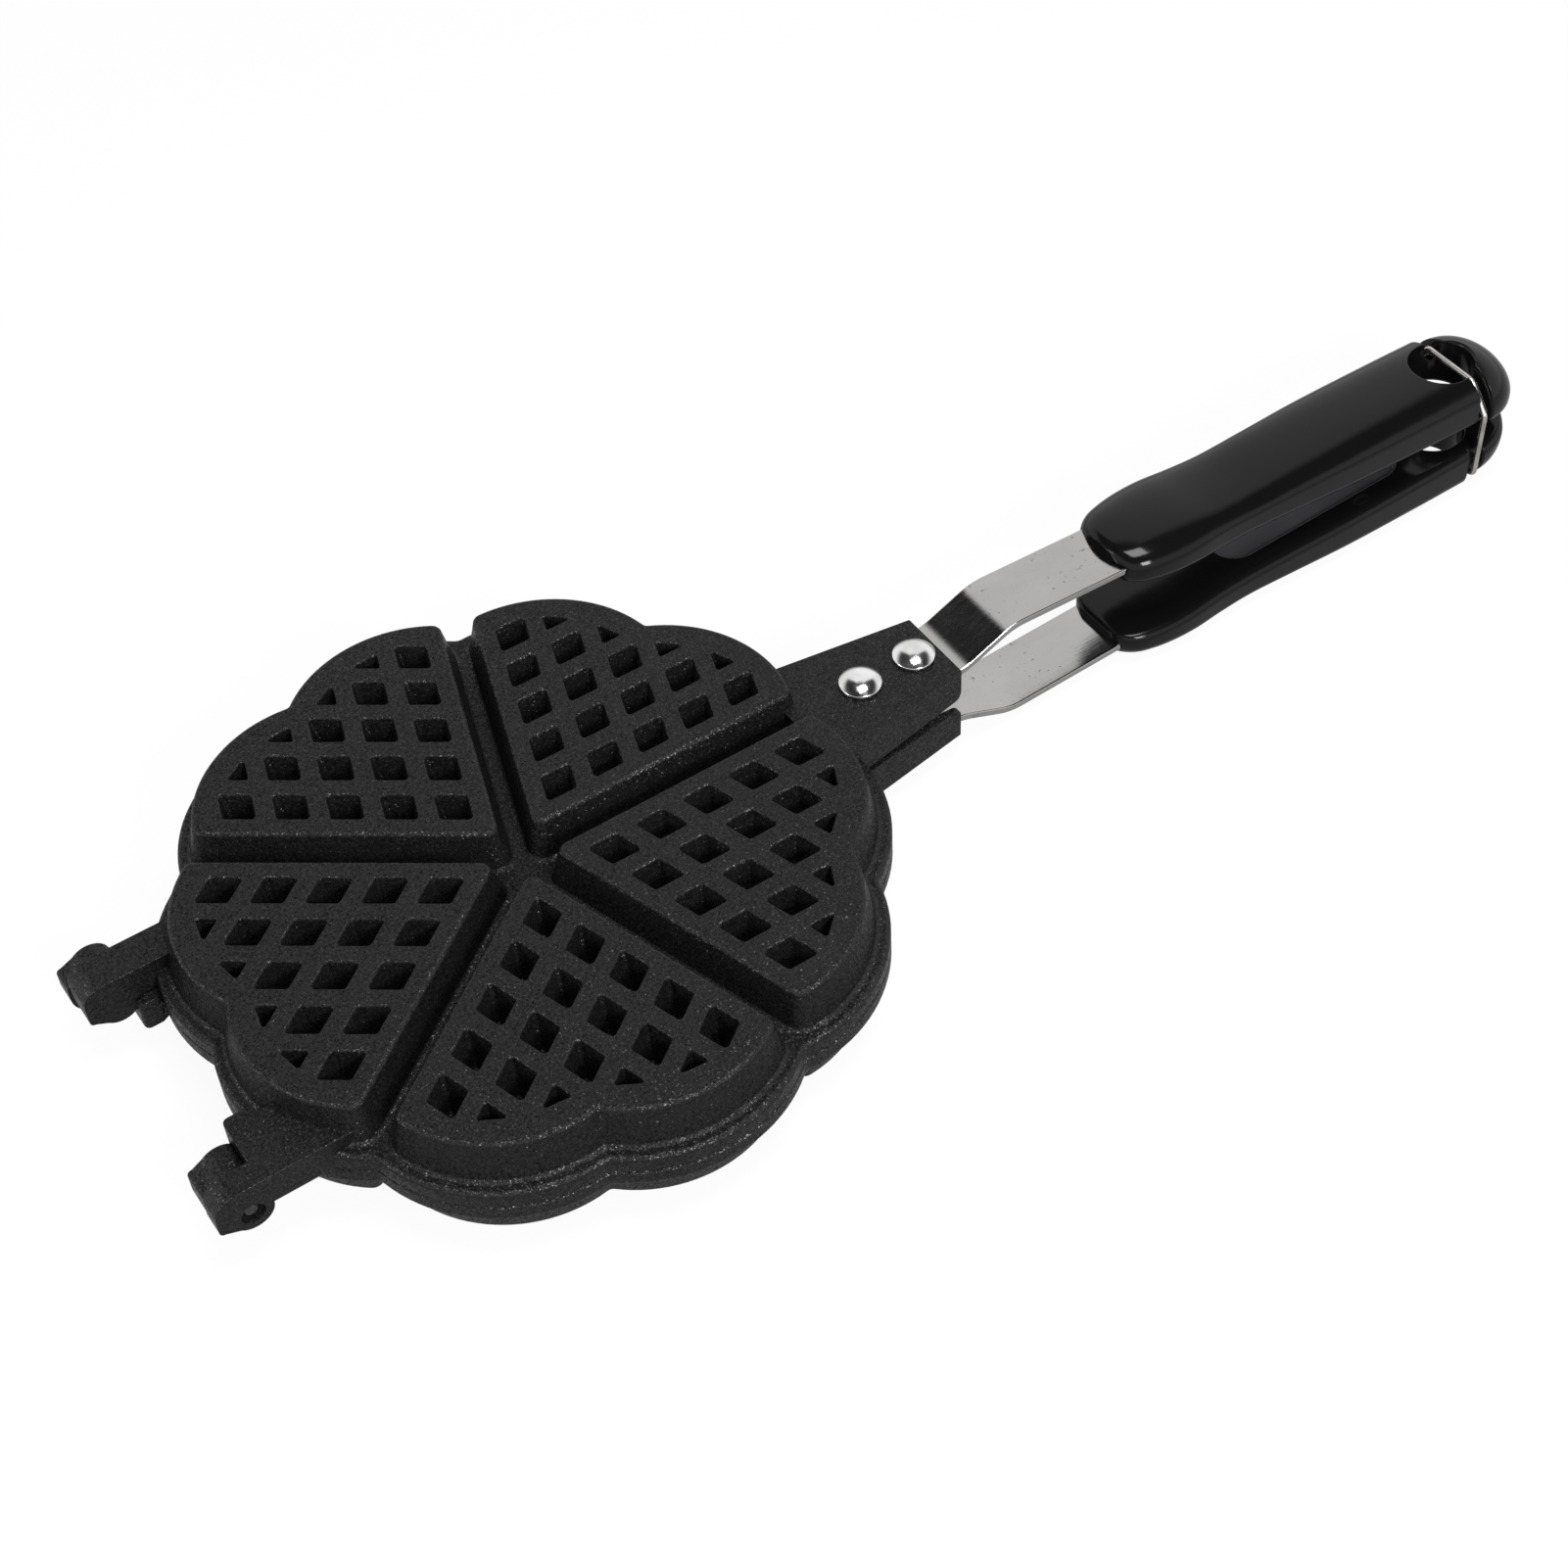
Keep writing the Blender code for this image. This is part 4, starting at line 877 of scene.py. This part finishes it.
black = Finish("glossy_moulding", (0.0042, 0.0042, 0.0043), 0.12, 0.0)
black.shader.inputs["Specular IOR Level"].default_value = 0.20
wave = black.noise(38.0, 3.0)
peel = black.noise(900.0, 2.0)
dust = black.ramp(black.noise(3200.0, 2.0, rough=0.8), 0.74, 0.80)
dusty = black.mix(black.math("MULTIPLY", dust, 0.25), (0.0042, 0.0042, 0.0043), (0.05, 0.05, 0.05))
black.feed("Base Color", dusty)
black.feed("Roughness", black.math("ADD", black.ramp(wave, 0.3, 0.7, 0.09, 0.17),
                                   black.ramp(dust, 0.0, 1.0, 0.0, 0.2)))
ripple = black.math("ADD", black.math("MULTIPLY", wave, 3.0), black.math("MULTIPLY", peel, 0.12))
black.bump(ripple, 0.14, 0.0004, black.rounded_edges(0.0004))

# The floor of the long recess is given a duller finish and a lighter, bluish grey.
recess_grey_finish = Finish("dull_grey_recess", (0.026, 0.026, 0.029), 0.5, 0.0)
recess_mottle = recess_grey_finish.noise(160.0, 4.0, stretch=(0.4, 1.0, 1.0))
recess_grey_tone = recess_grey_finish.mix(recess_grey_finish.ramp(recess_mottle, 0.35, 0.7), (0.020, 0.020, 0.023), (0.036, 0.036, 0.041))
recess_grey_finish.feed("Base Color", recess_grey_tone)
recess_grey_finish.feed("Roughness", recess_grey_finish.ramp(recess_mottle, 0.3, 0.7, 0.42, 0.60))
recess_grey_finish.bump(recess_grey_finish.noise(1300.0, 2.0), 0.2, 0.0001)
recess_floor = []
for face in grip_mesh.polygons:
    depth = face.center.z - inner_face(face.center.x)
    if face.normal.z < -0.8 and 0.0009 < depth < 0.0020:
        recess_floor.append(face.index)
for side in ("lower", "upper"):
    grip = shown(grip_mesh, side + "_grip", side, black, sharp=38)
    grip.data.materials.append(recess_grey_finish.material)
    for index in recess_floor:
        grip.data.polygons[index].material_index = 1
    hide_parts(side + "_handle")


# The grip screws: plain zinc-plated pan heads with a cross recess, sunk in the long recess of the inner
# face. They pass through the moulding's inner wall into the end of the strap.
seat = inner_face(screw_x) + 0.0009
screw_profile = [(0.0010, seat - 0.00135), (0.0018, seat - 0.0013), (0.0022, seat - 0.0011),
                 (0.0025, seat - 0.0008), (0.0026, seat - 0.0004), (0.0026, seat), (0.0016, seat),
                 (0.0016, strap_top(screw_x))]
screw_mesh = lathed(screw_profile, "screw", 36)
for half_x, half_y in ((0.0015, 0.0003), (0.0003, 0.0015)):
    flat = [(half_x, half_y), (-half_x, half_y), (-half_x, -half_y), (half_x, -half_y)]
    low_flat = [(x * 0.6, y * 0.8) for x, y in flat]
    cross = skinned([at_height(flat, seat - 0.002), at_height(low_flat, seat - 0.0004)], "cross")
    screw_mesh = worked(screw_mesh, cross, "DIFFERENCE")
screw_mesh.transform(Matrix.Translation((screw_x, 0, 0)))
zinc = Finish("zinc_plate", (0.60, 0.60, 0.58), 0.3, 1.0)
mottle = zinc.noise(800.0, 4.0)
zinc.feed("Roughness", zinc.ramp(mottle, 0.3, 0.7, 0.22, 0.42))
mottled = zinc.mix(zinc.ramp(mottle, 0.35, 0.7), (0.62, 0.62, 0.60), (0.44, 0.44, 0.42))
zinc.feed("Base Color", mottled)
zinc.bump(zinc.noise(1500.0, 2.0), 0.15, 0.0001)
for side in ("lower", "upper"):
    screw = shown(screw_mesh, side + "_grip_screw", side, zinc)
    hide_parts(side + "_handle_screw")


# The hinge pins: short plain steel pins through the ears, their ends a little below the outer ear's face,
# darkened by the coating oven. They stay with the lower half.
pin_ends = [(0.0014, 0.0), (0.0017, 0.0003), (0.0017, 0.0133), (0.0014, 0.0136)]
pin_mesh = lathed(pin_ends, "pin", 28)
pin_mesh.transform(Matrix.Translation((HINGE_X, 0.02665, 0)) @ Matrix.Rotation(-math.pi / 2, 4, "X"))
oven_dark = Finish("oven_dark_steel", (0.06, 0.06, 0.062), 0.4, 0.8)
scale_marks = oven_dark.noise(1100.0, 4.0)
oven_dark.feed("Base Color", oven_dark.mix(oven_dark.ramp(scale_marks, 0.35, 0.7), (0.03, 0.03, 0.031),
                                           (0.10, 0.10, 0.10)))
oven_dark.feed("Roughness", oven_dark.ramp(scale_marks, 0.3, 0.7, 0.32, 0.55))
oven_dark.bump(scale_marks, 0.2, 0.0001)
for word, side in (("left", "lower"), ("right", "upper")):
    pin = shown(pin_mesh, "hinge_pin_" + word + "_end", side, oven_dark, "lower_half")
    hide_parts("hinge_pin_" + word)


# The wire: one bent stainless wire whose ends turn in to the lower grip. Swung up, it lies in the grooves
# of both grips and holds them together; its crossbar lies across the upper grip's hanging hole.
wire_bend_r = 0.0017
wire_path = [(GRIP_HALF - 0.0067, -WIRE_PIVOT), (GRIP_HALF, -WIRE_PIVOT),
             (GRIP_HALF, WIRE_TOP - WIRE_KNEE_DROP), (GRIP_HALF - WIRE_KNEE_IN, WIRE_TOP)]
wire_path += [(-y, z) for y, z in reversed(wire_path)]
wire_curve = bpy.data.curves.new("wire", "CURVE")
wire_curve.dimensions = "3D"
wire_curve.bevel_depth = WIRE_R
wire_curve.bevel_resolution = 5
wire_curve.use_fill_caps = True
wire_points = rounded_line(wire_path, wire_bend_r, 6)
run = wire_curve.splines.new("POLY")
run.points.add(len(wire_points) - 1)
for point, place in zip(run.points, wire_points):
    point.co = (pan_centre.x + WIRE_X, place.x, pan_centre.z + place.y, 1)
wire_rod = bpy.data.objects.new("wire_rod", wire_curve)
bpy.context.scene.collection.objects.link(wire_rod)
wire_mesh = bpy.data.meshes.new_from_object(wire_rod.evaluated_get(bpy.context.evaluated_depsgraph_get()))
bpy.data.objects.remove(wire_rod, do_unlink=True)
satin = Finish("drawn_wire", (0.56, 0.53, 0.49), 0.3, 1.0)
draw_marks = satin.noise(1400.0, 3.0, stretch=(1.0, 1.0, 0.15), rough=0.6)
satin.feed("Roughness", satin.ramp(draw_marks, 0.3, 0.7, 0.22, 0.36))
satin.feed("Base Color", satin.mix(satin.ramp(satin.noise(300.0, 4.0), 0.4, 0.7), (0.60, 0.57, 0.53),
                                   (0.42, 0.39, 0.35)))
satin.bump(draw_marks, 0.12, 0.0001)
wire = shown(wire_mesh, "latch_bail", None, satin, "latch")
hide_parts("latch_wire")


# The floor: a plain white sheet under the pan. It glows white to the camera and half as bright in
# reflections, and it keeps a faint soft shadow of the pan.
floor_half = 6
floor_corners = [(x * floor_half, y * floor_half, 0) for x, y in ((-1, -1), (1, -1), (1, 1), (-1, 1))]
floor_mesh = bpy.data.meshes.new("floor")
floor_mesh.from_pydata(floor_corners, [], [(0, 1, 2, 3)])
floor = bpy.data.objects.new("floor", floor_mesh)
bpy.context.scene.collection.objects.link(floor)
sheet = bpy.data.materials.new("white_sheet")
sheet.use_nodes = True
nodes, links = sheet.node_tree.nodes, sheet.node_tree.links
paper = nodes["Principled BSDF"]
paper.inputs["Base Color"].default_value = (0.9, 0.9, 0.9, 1)
paper.inputs["Roughness"].default_value = 0.9
paper.inputs["Specular IOR Level"].default_value = 0.1
glow = nodes.new("ShaderNodeEmission")
seen = nodes.new("ShaderNodeLightPath")
most = nodes.new("ShaderNodeMath")
most.operation = "MAXIMUM"
links.new(seen.outputs["Is Camera Ray"], most.inputs[0])
links.new(seen.outputs["Is Glossy Ray"], most.inputs[1])
share = nodes.new("ShaderNodeMath")
share.operation = "MULTIPLY"
share.inputs[1].default_value = 0.93
links.new(most.outputs[0], share.inputs[0])
power = nodes.new("ShaderNodeMapRange")
power.inputs["To Min"].default_value = 0.5
power.inputs["To Max"].default_value = 1.0
links.new(seen.outputs["Is Camera Ray"], power.inputs["Value"])
links.new(power.outputs["Result"], glow.inputs["Strength"])
blend = nodes.new("ShaderNodeMixShader")
links.new(share.outputs[0], blend.inputs[0])
links.new(paper.outputs[0], blend.inputs[1])
links.new(glow.outputs[0], blend.inputs[2])
links.new(blend.outputs[0], nodes["Material Output"].inputs["Surface"])
floor_mesh.materials.append(sheet)

# The studio: a white room that lights the pan softly, with one soft box overhead, one in front and a weak
# one low on the hinge side, and a canopy over it that shows only in reflections.
world = bpy.data.worlds.new("studio")
bpy.context.scene.world = world
world.use_nodes = True
nodes, links = world.node_tree.nodes, world.node_tree.links
room = nodes["Background"]
room.inputs["Color"].default_value = (1, 1, 1, 1)
path = nodes.new("ShaderNodeLightPath")
first = nodes.new("ShaderNodeMath")
first.operation = "MAXIMUM"
links.new(path.outputs["Is Camera Ray"], first.inputs[0])
links.new(path.outputs["Is Glossy Ray"], first.inputs[1])
second = nodes.new("ShaderNodeMath")
second.operation = "MAXIMUM"
links.new(first.outputs[0], second.inputs[0])
links.new(path.outputs["Is Transmission Ray"], second.inputs[1])
strength = nodes.new("ShaderNodeMapRange")
strength.inputs["To Min"].default_value = 0.33
strength.inputs["To Max"].default_value = 1.0
links.new(second.outputs[0], strength.inputs["Value"])
links.new(strength.outputs["Result"], room.inputs["Strength"])

# A black canopy hangs over the pan and shows only in reflections, where it paints a dark reflection. Behind
# the pan it has a window that glows white, and below its hem it glows white all round, both with soft
# edges: these glowing parts are no lamps and paint bright reflections.
canopy_r = 1.6
canopy_foot, canopy_rise = 10.0, 79.5
window_mid, window_half, window_top = 56.0, 42.0, 74.0
hem, soft_edge = 36.0, 16.0
turns, rises = 120, 18


def eased(value):
    """A smooth step from 0 to 1."""
    value = min(max(value, 0), 1)
    return value * value * (3 - 2 * value)


corners, faces, brightness = [], [], []
for turn in range(turns):
    azimuth = math.tau * turn / turns
    aside = abs((math.degrees(azimuth) - window_mid + 180) % 360 - 180)
    for rise in range(rises + 1):
        degrees = canopy_foot + canopy_rise * rise / rises
        height = math.radians(degrees)
        corners.append((canopy_r * math.cos(height) * math.cos(azimuth),
                        canopy_r * math.cos(height) * math.sin(azimuth), canopy_r * math.sin(height)))
        window = eased((window_half - aside) / soft_edge + 0.5)
        window *= eased((window_top - degrees) / soft_edge + 0.5)
        brightness.append(max(window, eased((hem - degrees) / soft_edge + 0.5)))
        if rise < rises:
            corner = turn * (rises + 1) + rise
            beside = (turn + 1) % turns * (rises + 1) + rise
            faces.append((corner, beside, beside + 1, corner + 1))
canopy_mesh = bpy.data.meshes.new("canopy")
canopy_mesh.from_pydata(corners, [], faces)
canopy_mesh.attributes.new("brightness", "FLOAT", "POINT").data.foreach_set("value", brightness)
canopy = bpy.data.objects.new("canopy", canopy_mesh)
bpy.context.scene.collection.objects.link(canopy)
painted_reflection = bpy.data.materials.new("canopy_painted_reflection")
painted_reflection.use_nodes = True
nodes, links = painted_reflection.node_tree.nodes, painted_reflection.node_tree.links
reflection_shader = nodes["Principled BSDF"]
reflection_shader.inputs["Base Color"].default_value = (0.01, 0.01, 0.01, 1)
reflection_shader.inputs["Emission Color"].default_value = (1, 1, 1, 1)
# The glow that paints the bright reflections follows the brightness given at each point of the canopy.
shine = nodes.new("ShaderNodeAttribute")
shine.attribute_name = "brightness"
links.new(shine.outputs["Fac"], reflection_shader.inputs["Emission Strength"])
canopy_mesh.materials.append(painted_reflection)
for unseen in ("visible_camera", "visible_diffuse", "visible_shadow", "visible_transmission"):
    setattr(canopy, unseen, False)

# Each soft box: its name, place, size and power. All three point at the middle of the pan.
aim = Vector((0, 0, 0.02))
for name, place, size, power in (("overhead", (0.0, -0.21, 1.08), (0.50, 0.34), 7.6),
                                 ("front", (-0.09, -0.87, 0.66), (0.34, 0.28), 9.0),
                                 ("hinge_side", (-0.85, 0.22, 0.42), (0.30, 0.22), 1.6)):
    lamp = bpy.data.lights.new(name, "AREA")
    lamp.shape = "RECTANGLE"
    lamp.size, lamp.size_y = size
    lamp.energy = power
    lit = bpy.data.objects.new(name, lamp)
    lit.location = place
    lit.rotation_euler = (aim - Vector(place)).to_track_quat("-Z", "Y").to_euler()
    bpy.context.scene.collection.objects.link(lit)

# The camera stands at the photograph's place, in front of the pan and above it, nearer its hinge end, and
# its lens shows the pan as large as it is there.
eye = bpy.data.cameras.new("eye")
eye.sensor_width = 36
eye.lens = 62.716
eye.clip_start = 0.01
camera = bpy.data.objects.new("eye", eye)
camera.rotation_mode = "QUATERNION"
camera.rotation_quaternion = (0.892025, 0.344368, -0.085578, -0.279963)
camera.location = pan_centre + Vector((-0.15676, -0.37143, 0.4812))
bpy.context.scene.collection.objects.link(camera)
bpy.context.scene.camera = camera
bpy.context.scene.view_settings.view_transform = "Standard"
